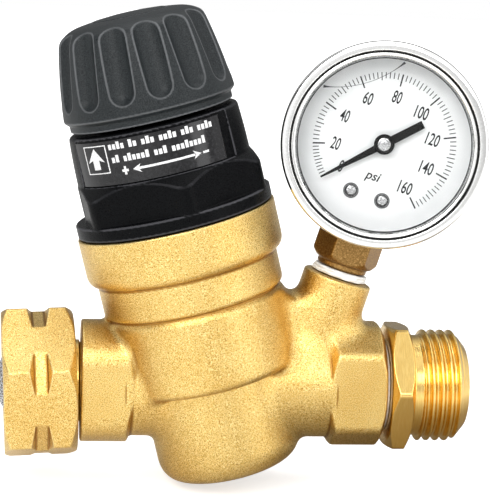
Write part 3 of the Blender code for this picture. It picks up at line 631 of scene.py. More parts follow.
def dress(obj, body, slot, replaces=(), look=None):
    """Gives a piece its material, its body and the CAD nodes that it stands for."""
    obj.data.materials.clear()
    obj.data.materials.append(look or LOOKS[slot])
    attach(obj, body)
    if replaces:
        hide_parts(*replaces)
    return obj


def turned(name, outline, placement, rounding, steps, slot, replaces=(), body="casting"):
    """A dressed piece with a round outline."""
    return dress(lathe(name, outline, placement, rounding, steps), body, slot, replaces)


# ---------------------------------------------------------------- cast body


def collar(points, start, end, chamfer_start, chamfer_end, corner):
    """The body's end: a round bar with flats on its sides and slopes between them."""
    x, y, z = points[:, 0], np.abs(points[:, 1]), np.abs(points[:, 2] - 0.4)
    field = soft_max(y - 12.5, z - 14.5, 0.8)
    field = soft_max(field, plane(y, z, (12.5, 9.2), (5.0, 14.5)), corner)
    r = np.hypot(y, z)
    field = soft_max(field, r - 15.6, 0.5)
    field = soft_max(field, slab(x, start, end), 0.6)
    if chamfer_end:
        field = soft_max(field, plane(x, r, (end, 12.6), (end - 1.6, 15.6)), 0.35)
    if chamfer_start:
        field = soft_max(field, plane(x, r, (start + 1.6, 15.6), (start, 12.6)), 0.6)
    return field


def body_outside(points):
    r, h = around(points, AXIS)
    stack = drum(r, h, 17.3, -20.8, 8.0, 5.2)
    for radius, low, high, rounding, join in (
        (21.0, 2.2, 21.2, 1.9, 0.4),
        (21.6, 21.5, 40.0, 1.1, 0.5),
        (20.1, 10.0, 40.0, 0.5, 0.5),
        (23.6, 29.5, 50.0, 2.6, 0.5),
    ):
        stack = soft_min(stack, drum(r, h, radius, low, high, rounding), join)
    stack = soft_max(stack, h - 41.3, 0.5)
    pipe = drum(*around(points, FLOW), 12.7, 29.0, 78.0, 0.3)
    pipe = soft_min(pipe, collar(points, 18.3, 30.3, False, True, 3.0), 0.4)
    pipe = soft_min(pipe, collar(points, 76.9, 90.4, True, True, 1.2), 0.4)
    solid = soft_min(stack, pipe, 1.9)
    boss = drum(*around(points, STEM), 8.3, 4.0, 27.6, 0.7)
    web = soft_max(slab(points[:, 0], 59.0, 73.0), slab(points[:, 2], 10.0, 22.0), 2.0)
    web = soft_max(web, np.abs(points[:, 1]) - 6.0, 3.0)
    return soft_min(solid, soft_min(boss, web, 3.0), 4.0)


def body_rooms(points):
    """The chambers and passages, each a round room about one of the three axes or between two points."""
    r, h = around(points, AXIS)
    flow, stem = around(points, FLOW), around(points, STEM)
    chambers = ((9.5, -16.0, 4.0), (7.2, 3.0, 13.0), (16.0, 12.0, 35.0), (20.5, 33.6, 46.0))
    rooms = [drum(r, h, *chamber, 0.2) for chamber in chambers]
    rooms += [hole(*flow, *room) for room in ((9.8, 15.0, 28.4), (9.8, 82.6, 93.0), (6.5, 69.0, 84.0))]
    rooms += [tube(points, (27.5, 0), (52.0, -5.0), 5.0), tube(points, (70.5, 0), (62.3, 16.5), 3.6)]
    rooms += [hole(*stem, *room) for room in ((2.0, 2, 19), (5.4, 17.5, 30.6))]
    return np.minimum.reduce(rooms)


def body_casting():
    def field(points):
        return soft_max(body_outside(points), -body_rooms(points), 0.3)

    casting = surface("body_cast", field, (15.5, -25, -25.5), (92, 25, 47), 0.42)
    dress(casting, "casting", "cast_brass", ["body_casting"])


# ---------------------------------------------------------------- inlet


def swivel_nut():
    first_corner = 70.0

    def field(points):
        u, v, x = local(points, NUT).T
        r = np.hypot(u, v)
        solid = soft_max(hexagon(u, v, 33.0, first_corner, 0.35), slab(x, 0, 17.0), 0.25)
        solid = cut(solid, x, r, 0.25, ((1.6, 19.3), (0, 17.0)), ((17.0, 16.3), (14.8, 19.3)))
        solid = soft_max(solid, r - 19.0, 0.5)
        phase = (x - 1.0 - HOSE_PITCH * np.arctan2(v, u) / (2 * math.pi)) % HOSE_PITCH - HOSE_PITCH / 2
        groove = soft_max(r - 13.35, np.abs(phase) * 0.83 + (r - 13.35) * 0.55 - 0.18, 0.2)
        bore = soft_min(r - 12.65, groove, 0.2)
        bore = soft_max(bore, x - 10.2, 0.2)
        bore = np.minimum(bore, hole(r, x, 13.0, 9.8, 12.0))
        bore = np.minimum(bore, r - 10.9)
        bore = soft_min(bore, plane(x, r, (-3, 16.6), (0.8, 12.9)) * -1, 0.3)
        solid = soft_max(solid, -bore, 0.25)
        out, across = folded(u, v, 6, first_corner)
        notch = soft_max(16.1 - out, np.abs(across) - 8, 0.2)
        notch = cut(notch, out, x, 0.3, ((16.1, 7.2), (22, 5.0)), ((22, 12.4), (16.1, 10.2)))
        return soft_max(solid, -notch, 0.25)

    nut = surface("swivel_nut", field, (-3, -21, -21), (19, 21, 21), 0.30)
    dress(nut, "inlet_nut", "cast_brass", ["inlet_swivel_nut"])


def inlet_parts():
    sleeve = [
        (7.6, 8.9), (12.2, 8.9), (12.2, 11.1), (10.0, 11.1), (10.0, 17.9), (9.4, 17.9), (9.4, 27.6),
        (7.6, 27.6),
    ]
    turned("tailpiece", sleeve, FLOW, 0.3, 96, "machined_brass", ["inlet_tailpiece"])
    turned("hose_washer", bar(8.0, 12.2, 6.0, 8.6), FLOW, 0.5, 96, "rubber", ["inlet_washer"])


def woven_screen():
    """A dome of round wires that pass over and under each other, in a rolled rim."""
    shape = bmesh.new()
    rim_r, pitch, wire, sides = 7.4, 0.74, 0.17, 6

    def dome_x(r):
        return -1.45 + 5.9 * (1 - math.sqrt(max(0, 1 - (r / 8.4) ** 2)))

    lines = math.floor(rim_r / pitch)
    for axis in (0, 1):
        for line in range(-lines, lines + 1):
            across = line * pitch
            half = math.sqrt(max(0, rim_r**2 - across**2))
            count = max(3, int(half * 2 / 0.25))
            previous = None
            for i in range(count + 1):
                along = -half + 2 * half * i / count
                lift = 0.15 * math.cos(math.pi * (along / pitch + line + axis))
                x = dome_x(math.hypot(along, across)) + lift
                centre = (along, across, x) if axis == 0 else (across, along, x)
                ring = []
                for side in range(sides):
                    c, s = polar(wire, 360 * side / sides)
                    offset = (0, c, s) if axis == 0 else (c, 0, s)
                    ring.append(shape.verts.new([a + b for a, b in zip(centre, offset)]))
                if previous is None:
                    shape.faces.new(ring)
                else:
                    for side in range(sides):
                        j = (side + 1) % sides
                        shape.faces.new((previous[side], previous[j], ring[j], ring[side]))
                previous = ring
            shape.faces.new(previous[::-1])
    mesh = finished("inlet_mesh", shape, FLOW, 60)
    dress(mesh, "casting", "steel", ["inlet_screen"])
    rim = [(7.0, 4.5), (7.4, 3.6), (7.8, 4.6), (12.1, 4.9), (12.1, 5.7), (7.0, 5.7)]
    turned("mesh_rim", rim, FLOW, 0.2, 96, "steel")


# ---------------------------------------------------------------- outlet


def outlet_adapter():
    hexagon_r = 16.6

    def field(points):
        x, y, z = points.T
        r = np.hypot(y, z)
        solid = drum(r, x, 9.4, 83.2, 95.0, 0.3)
        solid = np.minimum(solid, drum(r, x, 13.3, 91.3, 96.9, 0.3))
        solid = soft_min(solid, drum(r, x, 12.1, 95.0, 109.3, 0.4), 0.4)
        hexes = hexagon(-y, z, hexagon_r * math.sqrt(3), 4.3, 0.2)
        hexes = soft_max(hexes, slab(x, 91.3, 96.7), 0.25)
        hexes = soft_max(hexes, r - 16.4, 0.25)
        hexes = cut(hexes, x, r, 0.2, ((92.7, hexagon_r), (91.3, 14.0)), ((96.7, 14.0), (95.3, hexagon_r)))
        solid = soft_min(solid, hexes, 0.3)
        turns = np.arctan2(z, y) / (2 * math.pi) - 0.5
        phase = (x - 100.21 - HOSE_PITCH * turns) % HOSE_PITCH - HOSE_PITCH / 2
        flank = (np.abs(phase) - 0.88) * 0.915 + (r - 12.0) * 0.403
        ridge = soft_max(r - 13.45, flank, 0.2)
        ridge = soft_max(ridge, 99.2 - x, 0.5)
        ridge = soft_max(ridge, plane(x, r, (109.3, 12.0), (107.9, 13.6)), 0.3)
        solid = soft_min(solid, ridge, 0.2)
        solid = soft_max(solid, plane(x, r, (109.3, 11.4), (108.3, 12.6)), 0.3)
        bore = soft_min(r - 8.0, plane(x, r, (109.4, 9.0), (107.9, 8.0)), 0.2)
        return soft_max(solid, -bore, 0.3)

    part = surface("hose_outlet", field, (82, -18.5, -18.5), (110.6, 18.5, 18.5), 0.27)
    dress(part, "casting", "machined_brass", ["outlet_adapter"])
    turned("flange_seal", bar(9.75, 10.9, 90.6, 91.1), FLOW, 0.1, 96, "seal_white", ["outlet_seal"])


# ---------------------------------------------------------------- bonnet and label


def bonnet():
    def field(points):
        u, v, h = local(points, AXIS).T
        r, psi = np.hypot(u, v), np.degrees(np.arctan2(u, -v))
        solid = drum(r, h, 20.2, 36.7, 43.0, 0.3)
        solid = np.minimum(solid, drum(r, h, 23.3, 41.6, 44.8, 0.35))
        barrel = soft_max(r - 20.6, slab(h, 44.0, 65.4), 2.2)
        barrel = soft_max(barrel, plane(h, r, (66.0, 20.05), (54.0, 20.8)), 0.3)
        solid = soft_min(solid, barrel, 0.4)
        solid = np.minimum(solid, drum(r, h, 12.2, 60.0, 69.0, 0.4))
        wrench = hexagon(u, v, 41.5, -83.0, 0.4)
        wrench = soft_max(wrench, slab(h, 44.0, 53.7), 0.4)
        wrench = soft_max(wrench, plane(h, r, (53.7, 20.6), (50.3, 24.1)), 0.4)
        wrench = soft_max(wrench, r - 23.3, 0.5)
        from_lost_corner = psi + 113
        lost = soft_max(r - 20.75, 17.3 - 20 * np.cos(np.radians(from_lost_corner)), 0.1)
        lost = np.where(np.abs(from_lost_corner) < 32, np.maximum(lost, r - 20.75), -1e3)
        wrench = soft_max(wrench, lost, 0.1)
        solid = soft_min(solid, wrench, 0.35)
        side = np.maximum(-68.5 - psi, psi - 52.0) * r * math.pi / 180
        recess = soft_max(19.95 - r, soft_max(slab(h, 53.9, 64.7), side, 0.2), 0.2)
        solid = soft_max(solid, -recess, 0.25)
        rooms = [hole(r, h, *room) for room in ((16.4, 30, 41.4), (14.0, 40.0, 61.4), (4.2, 60, 75))]
        keyway = np.maximum(np.abs(u) - 16.0, np.abs(v) - 2.6)
        rooms.append(np.maximum(keyway, slab(h, 44, 61.4)))
        return soft_max(solid, -np.minimum.reduce(rooms), 0.2)

    middle = AXIS @ Vector((0, 0, 52.0))
    low, high = (middle.x - 32, -25, middle.z - 20.5), (middle.x + 32, 25, middle.z + 23)
    housing = surface("spring_bonnet", field, low, high, 0.38)
    dress(housing, "casting", "black_plastic", ["bonnet"], BONNET_PLASTIC)


def wrapped(shape, outline, radius, thickness):
    """Adds an outline of (degrees from the front, height) to a bmesh, bent round the regulator axis."""
    bend_every = 3
    flat = bmesh.new()
    face = flat.faces.new([flat.verts.new((x, y, 0)) for x, y in outline])
    bmesh.ops.triangulate(flat, faces=[face])
    left = min(x for x, _ in outline)
    right = max(x for x, _ in outline)
    cut = (math.floor(left / bend_every) + 1) * bend_every
    while cut < right:
        everything = flat.verts[:] + flat.edges[:] + flat.faces[:]
        bmesh.ops.bisect_plane(flat, geom=everything, plane_co=(cut, 0, 0), plane_no=(1, 0, 0))
        cut += bend_every
    bmesh.ops.recalc_face_normals(flat, faces=flat.faces)
    extruded = bmesh.ops.extrude_face_region(flat, geom=flat.faces[:])["geom"]
    for item in extruded:
        if isinstance(item, bmesh.types.BMVert):
            item.co.z = thickness
    copies = {}
    for vertex in flat.verts:
        x, y = polar(radius + vertex.co.z, vertex.co.x - 90)
        copies[vertex] = shape.verts.new((x, y, vertex.co.y))
    for face in flat.faces:
        shape.faces.new([copies[vertex] for vertex in face.verts])
    flat.free()


def label():
    film = bmesh.new()
    wrapped(film, bar(-67.5, 43.0, 54.2, 64.3), 20.10, 0.28)
    dress(finished("label_film", film, AXIS), "casting", "label", ["bonnet_label"])
    ink = bmesh.new()

    def draw(outline):
        wrapped(ink, outline, 20.41, 0.03)

    left, right, low, high, line = -57.5, -37.6, 57.0, 63.5, 0.22
    upright = 0.8
    draw(bar(left, right, low, low + line))
    draw(bar(left, right, high - line, high))
    draw(bar(left, left + upright, low + line, high - line))
    draw(bar(right - upright, right, low + line, high - line))
    draw([
        (-50.6, 58.0), (-45.0, 58.0), (-45.0, 60.2), (-40.4, 59.6), (-47.8, 62.9), (-55.2, 59.6),
        (-50.6, 60.2),
    ])
    for start, height, words in ((-35.2, 62.2, (4, 2, 3, 4, 3, 4)), (-34.6, 59.2, (2, 6, 3, 8))):
        place = start
        for word in words:
            for letter in range(word):
                tall = (word * 5 + letter * 3 + round(height)) % 4 == 0
                draw(bar(place, place + 2.15, height, height + (1.7 if tall else 1.2)))
                place += 2.95
            place += 2.6
    level, thick = 57.15, 0.26
    draw(bar(-17.5, 19.5, level - thick, level + thick))
    for tip, back in ((-21.5, -16.0), (23.8, 18.3)):
        head = [(tip, level), (back, level + 1.0), ((tip + 2 * back) / 3, level), (back, level - 1.0)]
        draw(head if tip > 0 else head[::-1])
    draw(bar(-28.9, -24.5, level - 0.28, level + 0.28))
    for side in (-1, 1):
        inner, outer = sorted((side * 0.3, side * 0.95))
        draw(bar(-27.45, -25.95, level + inner, level + outer))
    draw(bar(25.2, 29.6, level - 0.25, level + 0.25))
    dress(finished("label_print", ink, AXIS), "casting", "label", look=INK_WHITE)


# ---------------------------------------------------------------- knob


def knob():
    flutes = 14

    def field(points):
        u, v, h = local(points, AXIS).T
        r = np.hypot(u, v)
        sides = plane(h, r, (86.6, 17.5), (68.7, 20.3))
        belly = sides - 0.35 * np.clip(1 - ((h - 77.0) / 9.0) ** 2, 0, 1)
        under = plane(h, r, (68.7, 20.3), (67.8, 19.3))
        cone = soft_max(belly, under, 0.25)
        top = plane(r, h, (17.5, 86.9), (14.5, 89.2))
        dome = np.hypot(r, h - 14.0) - 76.4
        cone = soft_max(cone, soft_max(dome, top, 1.2), 1.0)
        collar_band = soft_max(r - 19.3, slab(h, 66.2, 70.0), 0.3)
        solid = soft_min(collar_band, soft_max(cone, 67.4 - h, 0.1), 0.15)
        out, across = folded(u, v, flutes, -90 - 5.3 + 180 / flutes)
        start, end = np.array((21.75, 74.6)), np.array((18.3, 91.6))
        along = (end - start) / np.linalg.norm(end - start)
        out, up = out - start[0], h - start[1]
        reach = np.maximum(out * along[0] + up * along[1], 0)
        flute = np.sqrt((out - reach * along[0]) ** 2 + (up - reach * along[1]) ** 2 + across**2)
        solid = soft_max(solid, -(flute - 3.7), 0.3)
        hollows = [
            np.maximum(r - 16.5, h - 72.0),
            np.maximum(slab(r, 8.0, 14.0), slab(h, 71.0, 84.0)),
            hole(r, h, 5.2, 77.7, 88.0),
            np.maximum(r - 8.9, 87.4 - h),
            np.maximum(hexagon(u, v, 7.2, 0, 0.1), slab(h, 70, 79)),
        ]
        return soft_max(solid, -np.minimum.reduce(hollows), 0.2)

    middle = AXIS @ Vector((0, 0, 78.3))
    low, high = (middle.x - 25, -21.5, middle.z - 18.5), (middle.x + 25, 21.5, middle.z + 18.5)
    dress(surface("grip_knob", field, low, high, 0.33), "knob", "black_plastic", ["knob"])
    cap = [(0, 87.7), (8.6, 87.7), (8.6, 90.0), (5.0, 90.3), (0, 90.4)]
    turned("grip_cap", cap, AXIS, 0.3, 96, "black_plastic", ["knob_cap"], "knob")


# ---------------------------------------------------------------- gauge


def gauge_socket():
    def field(points):
        u, v, h = local(points, STEM).T
        r = np.hypot(u, v)
        lengths = (
            (5.0, 18.0, 27.4, 0.3), (4.6, 26.0, 33.0, 0.2), (6.05, 29.8, 31.6, 0.35), (5.0, 31.0, 40.6, 0.2),
            (3.4, 38.0, 47.5, 0.2),
        )
        solid = np.minimum.reduce([drum(r, h, *length) for length in lengths])
        hexes = soft_max(hexagon(u, v, 14.0, 26.7 - 90, 0.35), slab(h, 31.1, 38.9), 0.35)
        hexes = soft_max(hexes, plane(h, r, (32.7, 8.1), (31.1, 6.6)), 0.35)
        hexes = soft_max(hexes, plane(h, r, (38.9, 7.2), (38.0, 8.2)), 0.3)
        solid = soft_min(solid, hexes, 0.3)
        across, up, out = local(points, GAUGE).T
        block = soft_max(np.abs(across) - 5.6, slab(up, -15.2, -10.2), 0.3)
        block = soft_max(block, np.abs(out) - 3.5, 0.3)
        solid = np.minimum(solid, block)
        for side in (-1, 1):
            screw_hole = np.hypot(across - side * SCREW_ASIDE, up + SCREW_BELOW) - 1.1
            solid = np.maximum(solid, -np.maximum(screw_hole, 0.5 - out))
        return np.maximum(solid, -np.maximum(r - 1.8, h - 48.2))

    low, high = STEM @ Vector((0, 0, 17)), STEM @ Vector((0, 0, 49))
    low, high = (low.x - 9, -9.5, low.z - 3), (high.x + 9, 9.5, high.z + 5)
    dress(surface("stem_socket", field, low, high, 0.28), "casting", "socket_brass", ["gauge_socket"])

    def ragged(angle, h):
        return 0.16 * math.sin(3 * angle + 2 * h) + 0.10 * math.sin(11 * angle - 5 * h)

    tape = [(4.9, 27.9), (6.5, 27.9), (6.65, 28.4), (6.4, 28.7), (6.6, 29.1), (6.3, 29.5), (4.9, 29.5)]
    dress(lathe("seal_tape", tape, STEM, 0.15, 96, ragged), "casting", "seal_white", ["thread_seal"])


def gauge_case():
    shell = [
        (0, -12.0), (20.3, -12.0, 0.5), (21.8, -10.5, 1.6), (21.8, 8.5), (20.8, 8.5), (20.8, -10.0, 1),
        (19.8, -11.0, 1), (0, -11.0),
    ]
    case = lathe("can", shell, GAUGE, 0.15)
    stem_hole = lathe("stem_hole", bar(0, 5.4, 36, 45), STEM, 0, 64)
    plug_hole = lathe("plug_hole", bar(0, 2.6, 77.2, 86.2), STEM, 0, 48)
    for opening in (stem_hole, plug_hole):
        cutter = case.modifiers.new("Hole", "BOOLEAN")
        cutter.operation, cutter.object = "DIFFERENCE", opening
        graph = bpy.context.evaluated_depsgraph_get()
        mesh = bpy.data.meshes.new_from_object(case.evaluated_get(graph))
        case.modifiers.clear()
        case.data = mesh
        bpy.data.objects.remove(opening)
    case.data.set_sharp_from_angle(angle=math.radians(35))
    dress(case, "casting", "steel", ["gauge_case"])
    plug = [
        (0, 18.2), (3.0, 18.2), (3.0, 20.0), (2.3, 20.4), (2.3, 22.0), (2.9, 22.1), (2.9, 22.5), (1.6, 22.6),
        (0.6, 23.7), (0, 23.7),
    ]
    turned("rubber_plug", plug, STEM @ shift(0, 0, GAUGE_HEIGHT), 0.25, 64, "rubber", ["fill_plug"])


def gauge_front():
    ring = [
        (22.1, 8.0), (23.5, 8.0, 0.3), (24.0, 8.6, 0.4), (24.0, 13.0, 2.2), (21.9, 13.0, 0.3),
        (21.8, 12.0, 0.05), (21.5, 12.0, 0.05), (21.35, 12.55, 0.3), (20.6, 12.3, 0.6), (20.3, 11.4, 0.2),
        (20.3, 10.9), (22.1, 10.9),
    ]
    turned("bezel_ring", ring, GAUGE, 0.15, 256, "chrome", ["gauge_bezel"])
    # Thin black rings in the bezel's groove, at its back seam and inside its lip: painted shade lines for
    # the dark gaps there.
    for name, outline, rounding in (
        ("groove_shade_line", bar(21.52, 21.78, 12.05, 12.35), 0.04),
        ("bezel_seam_shade", bar(24.02, 24.12, 8.7, 9.1), 0.03),
        ("inner_shade_line", bar(20.0, 20.22, 10.7, 11.3), 0.05),
    ):
        turned(name, outline, GAUGE, rounding, 256, "pointer_black")
    turned("glass", bar(0, 21.7, 9.7, 10.6), GAUGE, 0.1, 160, "lens_clear", ["gauge_lens"])
    turned("lens_ring", bar(20.4, 21.7, 8.9, 9.5), GAUGE, 0.1, 160, "rubber", ["lens_gasket"])
    turned("dial_face", bar(1.6, 20.9, 4.0, DIAL_TOP), GAUGE, 0.1, 160, "dial_white", ["dial_plate"])


def pressure_angle(psi):
    """Where a pressure stands on the dial: the first interval is a little closed up."""
    return 226.0 - 1.4 * psi if psi < 20 else 198.0 - 1.738 * (psi - 20)


def text_mesh(words, height, centre, width, slant=0.0, bold=0.0):
    """Text as a mesh on the dial, squeezed to a width and a height and centred."""
    curve = bpy.data.curves.new("text", "FONT")
    curve.body, curve.extrude, curve.resolution_u, curve.offset = words, 0.0005, 4, bold
    curve.align_x = "LEFT"
    curve.shear = slant
    obj = bpy.data.objects.new("text", curve)
    bpy.context.scene.collection.objects.link(obj)
    bpy.context.view_layer.update()
    mesh = bpy.data.meshes.new_from_object(obj.evaluated_get(bpy.context.evaluated_depsgraph_get()))
    bpy.data.objects.remove(obj)
    points = np.array([v.co for v in mesh.vertices])
    low, high = points.min(0), points.max(0)
    middle, size = (low + high) / 2, high - low
    for vertex in mesh.vertices:
        share = (np.array(vertex.co) - middle) / size
        x, y = centre[0] + share[0] * width, centre[1] + share[1] * height
        vertex.co = (x, y, DIAL_TOP + 0.03 + 0.02 * np.sign(share[2]))
    return mesh


def dial_print():
    shape = bmesh.new()
    full_scale, tick_end = 160, 16.8
    for psi in range(0, full_scale + 1, 2):
        major, medium = psi % 20 == 0, psi % 10 == 0
        inner = 13.9 if major else 14.9 if medium else 15.35
        half = 0.17 if major else 0.1
        angle = pressure_angle(psi)
        along, across = Vector(polar(1, angle)), Vector(polar(1, angle + 90))
        outline = [along * r + across * s for r, s in bar(inner, tick_end, -half, half)]
        add_slab(shape, [tuple(p) for p in outline], DIAL_TOP + 0.01, DIAL_TOP + 0.05)
    for psi in range(0, full_scale + 1, 20):
        x, y = polar(11.35, pressure_angle(psi))
        digits = str(psi)
        shape.from_mesh(text_mesh(digits, 3.0, (x, y), 1.08 * len(digits), 0.06, 0.014))
    shape.from_mesh(text_mesh("psi", 2.75, (0.0, -8.3), 3.6, 0.22, 0.012))
    dress(finished("dial_marks", shape, GAUGE, 30), "casting", "dial_white", look=INK_BLACK)


def dial_screws():
    for side, name in ((-1, "left"), (1, "right")):
        place = GAUGE @ shift(side * SCREW_ASIDE, -SCREW_BELOW, 0)

        def field(points):
            u, v, h = local(points, place @ turn(25 * side + 10, "Z")).T
            r = np.hypot(u, v)
            head = soft_max(np.hypot(r, h - 3.3) - 2.3, 4.72 - h, 0.15)
            head = soft_max(head, r - 1.65, 0.12)
            solid = np.minimum(head, drum(r, h, 0.9, 0.9, 4.9, 0.1))
            one_slot = np.maximum(np.abs(u) - 0.22, np.abs(v) - 0.85)
            other_slot = np.maximum(np.abs(v) - 0.22, np.abs(u) - 0.85)
            cross = np.minimum(one_slot, other_slot)
            return soft_max(solid, -np.maximum(cross, 5.05 - h), 0.08)

        middle, reach = place @ Vector((0, 0, 3.2)), Vector((3, 3, 3))
        screw = surface("screw_head_" + name, field, tuple(middle - reach), tuple(middle + reach), 0.09)
        dress(screw, "casting", "steel", ["dial_screw_" + name])
        # A thin black ring under each screw head: a painted shadow round its rim.
        turned("screw_shadow_ring_" + name, bar(1.2, 1.8, 4.54, 4.7), place, 0.05, 64, "pointer_black")


def pointer():
    shape = bmesh.new()
    side = [(16.7, 0.22), (2.0, 0.85), (0, 1.0), (-10.15, 0.95)]
    add_slab(shape, [(x, -y) for x, y in side] + side[::-1], 5.9, 6.2)
    bmesh.ops.rotate(shape, verts=shape.verts, matrix=turn(pressure_angle(0), "Z").to_3x3())
    needle = finished("needle", shape, GAUGE)
    edge = needle.modifiers.new("Edge", "BEVEL")
    edge.width, edge.segments, edge.limit_method = 0.06 * MM, 2, "ANGLE"
    body = next(name for name, nodes in frame["record"]["behaviour"]["bodies"].items() if "pointer" in nodes)
    dress(needle, body, "pointer_black", ["pointer"])
    hub = [(1.55, 5.8), (2.35, 5.8), (2.4, 6.6), (2.1, 6.9), (1.7, 6.8), (1.55, 6.3)]
    turned("needle_hub", hub, GAUGE, 0.1, 96, "pointer_black", body=body)
    cap = [
        (0, 6.1), (1.5, 6.1), (1.52, 6.6), (1.2, 6.72), (1.1, 6.62), (0.8, 6.66), (0.5, 6.78), (0.45, 6.66),
        (0.12, 6.7), (0.1, 6.95), (0, 7.0),
    ]
    turned("needle_cap", cap, GAUGE, 0.04, 96, "steel", body=body)


def bubble():
    """The edge of the air above the liquid: a shallow curve that thickens where it meets the lens ring."""
    left_angle, right_angle, sag, line, wedge = 155.0, 95.0, 2.0, 0.05, 0.3
    share = np.linspace(0, 1, 90)
    start, end = np.array(polar(19.6, left_angle)), np.array(polar(19.6, right_angle))
    x, y = (start + np.outer(share, end - start)).T
    out_x, out_y = polar(1, (left_angle + right_angle) / 2)
    fall = 4 * share * (1 - share) * sag
    x, y = x - out_x * fall, y - out_y * fall
    half = line + wedge * (np.exp(-share / 0.05) + np.exp((share - 1) / 0.05))
    along_x, along_y = np.gradient(x), np.gradient(y)
    length = np.hypot(along_x, along_y)
    side = np.stack((-along_y, along_x), 1) * (half / length)[:, None]
    middle = np.stack((x, y), 1)
    shape = bmesh.new()
    outline = np.concatenate((middle + side, (middle - side)[::-1]))
    add_slab(shape, [tuple(p) for p in outline], 9.35, 9.5)
    bmesh.ops.triangulate(shape, faces=[f for f in shape.faces if len(f.verts) > 4])
    look = soft_solid("meniscus", (0.02, 0.02, 0.02), (0.10, 0.10, 0.11), 0.3, 0.8)
    dress(finished("bubble_edge", shape, GAUGE), "casting", "lens_clear", look=look)


# ---------------------------------------------------------------- stage


# Soft boxes and dark flags in the room's walls: direction, where each starts and ends, brightness.
STUDIO = (
    ((0, 0, 1), -1.2, -1.1, 0.5),
    ((0, -1, 0.1), 0.2, 0.9, 0.2),
    ((-1, -0.25, 0.0), 0.2, 0.85, 0.85),
    ((1, -0.15, 0.15), 0.35, 0.85, 0.6),
    ((0, 0.1, 1), 0.5, 0.95, 0.55),
    ((0, 1, 0.1), 0.3, 0.9, -0.25),
    ((-0.68, -0.2, 0.68), 0.82, 0.94, -1.35),
    ((0.55, -0.6, 0.35), 0.93, 0.98, -0.5),
    ((0.8, -0.55, 0.1), 0.93, 0.99, -0.45),
    ((-0.75, -0.6, 0.1), 0.95, 0.99, -0.35),
)

# Lamps that face the object's middle, in metres: name, place, width and height, power.
LAMPS = (
    ("front", (0.02, -0.85, 0.48), (0.7, 0.4), 2.6),
    ("key", (-0.35, -0.55, 0.55), (0.35, 0.5), 3.0),
    ("fill", (0.60, -0.45, 0.25), (0.25, 0.6), 1.2),
    ("top", (0.05, 0.10, 0.75), (0.6, 0.4), 1.6),
)


def lamps():
    middle = Vector((0.055, 0, 0.04))
    for name, place, size, power in LAMPS:
        data = bpy.data.lights.new(name, "AREA")
        data.shape, data.size, data.size_y = "RECTANGLE", *size
        data.energy = power
        lamp = bpy.data.objects.new(name, data)
        bpy.context.scene.collection.objects.link(lamp)
        lamp.location = place
        lamp.rotation_euler = (middle - Vector(place)).to_track_quat("-Z", "Y").to_euler()


def floor():
    """White paper to the camera, where it glows, more strongly further off. To the object it is dark nearby,
    a painted shadow, and white further off.
    """
    gap = 0.0006
    shape = bmesh.new()
    bmesh.ops.create_circle(shape, cap_ends=True, segments=96, radius=3000)
    sheet = finished("floor", shape, shift(50, 0, (cad_box[0].z - gap) / MM))
    f = Finish("floor")
    path = f.add("ShaderNodeLightPath")
    offset = f.add("ShaderNodeVectorMath", operation="SUBTRACT")
    f.link(f.space, offset.inputs[0])
    offset.inputs[1].default_value = (115, 15, 0)
    away = f.add("ShaderNodeVectorMath", operation="LENGTH")
    f.link(offset.outputs["Vector"], away.inputs[0])
    paper = f.ramp(f.noise(0.01, 3.0), (0.3, (0.90, 0.90, 0.90)), (0.7, (0.93, 0.93, 0.93)))
    # A painted shadow: dark brown within 40 mm of a point right of the object's middle, white beyond 110 mm.
    shade = f.mix(f.span(away.outputs["Value"], 0.0, 1.0, 40, 110), (0.22, 0.18, 0.12), (0.98, 0.98, 0.97))
    f.colour(f.mix(path.outputs["Is Camera Ray"], shade, paper))
    f.roughness(f.span(f.noise(0.05, 3.0), 0.16, 0.24))
    f.set(Specular_IOR_Level=0.3, Emission_Color=(1, 1, 1, 1))
    glow = f.span(away.outputs["Value"], 0.58, 1.0, 90, 500)
    f.link(f.math("MULTIPLY", path.outputs["Is Camera Ray"], glow), f.shader.inputs["Emission Strength"])
    sheet.data.materials.append(f.material)
    sheet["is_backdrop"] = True


def room():
    """The studio's walls. The camera sees them white, and the object sees boxes and flags."""
    world = bpy.data.worlds.new("studio")
    bpy.context.scene.world = world
    world.use_nodes = True
    n = Nodes(world.node_tree)
    place = n.add("ShaderNodeTexCoord")
    total = 0.0
    for direction, start, end, amount in STUDIO:
        towards = n.add("ShaderNodeVectorMath", operation="DOT_PRODUCT")
        towards.inputs[1].default_value = Vector(direction).normalized()
        n.link(place.outputs["Generated"], towards.inputs[0])
        lobe = n.span(towards.outputs["Value"], 0, amount, start, end)
        lobe.node.interpolation_type = "SMOOTHSTEP"
        total = n.math("ADD", total, lobe)
    never_dark = n.math("MAXIMUM", total, 0.02)
    path = n.add("ShaderNodeLightPath")
    seen = n.mix(path.outputs["Is Camera Ray"], never_dark, (1.0, 1.0, 1.0))
    n.link(seen, n.tree.nodes["Background"].inputs["Color"])
    bpy.context.scene.view_settings.view_transform = "Standard"


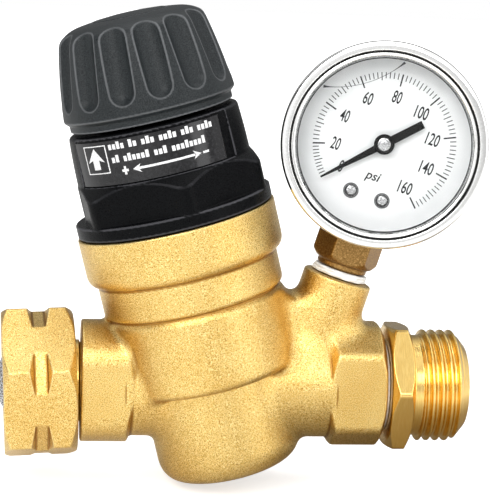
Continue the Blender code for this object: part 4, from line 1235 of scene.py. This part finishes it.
def camera():
    swing, tilt, roll = (math.radians(angle) for angle in (-6.36, 9.352, 2.04))
    back = Vector((math.sin(swing) * math.cos(tilt), -math.cos(swing) * math.cos(tilt), math.sin(tilt)))
    right = Vector((math.cos(swing), math.sin(swing), 0))
    up = back.cross(right)
    rolled_right = right * math.cos(roll) + up * math.sin(roll)
    rolled_up = up * math.cos(roll) - right * math.sin(roll)
    aside, above, distance = 7.7, 31.773, 450
    place = Vector((50, 0, 0)) + rolled_right * aside + rolled_up * above + back * distance
    data = bpy.data.cameras.new("camera")
    data.sensor_fit, data.sensor_height, data.lens = "VERTICAL", 36, 135.2
    data.clip_start, data.clip_end = 0.01, 50
    obj = bpy.data.objects.new("camera", data)
    bpy.context.scene.collection.objects.link(obj)
    obj.matrix_world = frame_of(place * MM, rolled_right, rolled_up, back)
    bpy.context.scene.camera = obj


def range_spring():
    """The coil between plate and carrier."""
    mean_r, wire_r, low, high, turns, flat, rise = 9.4, 1.0, 37.95, 49.2, 4.25, 0.75, 0.36
    per_turn, sides = 48, 20
    shape = bmesh.new()
    rings = []
    for step in range(int(turns * per_turn) + 1):
        at = step / per_turn
        ends = min(at / flat, 1) + max((at - turns) / flat + 1, 0)
        middle = min(max((at - flat) / (turns - 2 * flat), 0), 1)
        height = low + rise * ends + (high - low - 2 * rise) * middle
        ring = []
        for side in range(sides):
            out, up = polar(wire_r, 360 / sides * side)
            ring.append(shape.verts.new((*polar(mean_r + out, 360 * at), height + up)))
        rings.append(ring)
    for one, two in zip(rings, rings[1:]):
        for side in range(sides):
            after = (side + 1) % sides
            shape.faces.new((one[side], one[after], two[after], two[side]))
    shape.faces.new(rings[0])
    shape.faces.new(rings[-1])
    spring = finished("range_spring_coil", shape, AXIS)
    spring.data.materials.append(LOOKS["spring_steel"])
    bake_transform(spring)
    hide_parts("range_spring")


def carried_over():
    """Sealed inner parts keep their CAD shape and get the finished materials."""
    for node in frame["nodes"].values():
        for place in node.material_slots:
            name = place.material.name.split(".")[0]
            if name in LOOKS:
                place.material = LOOKS[name]


def main():
    carried_over()
    body_casting()
    swivel_nut()
    inlet_parts()
    woven_screen()
    outlet_adapter()
    bonnet()
    label()
    knob()
    gauge_socket()
    gauge_case()
    gauge_front()
    dial_print()
    dial_screws()
    pointer()
    bubble()
    range_spring()
    camera()
    floor()
    room()
    lamps()
    boxes = {"cad": cad_box, "visual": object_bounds()}
    {name: [list(corner) for corner in box] for name, box in boxes.items()}


main()
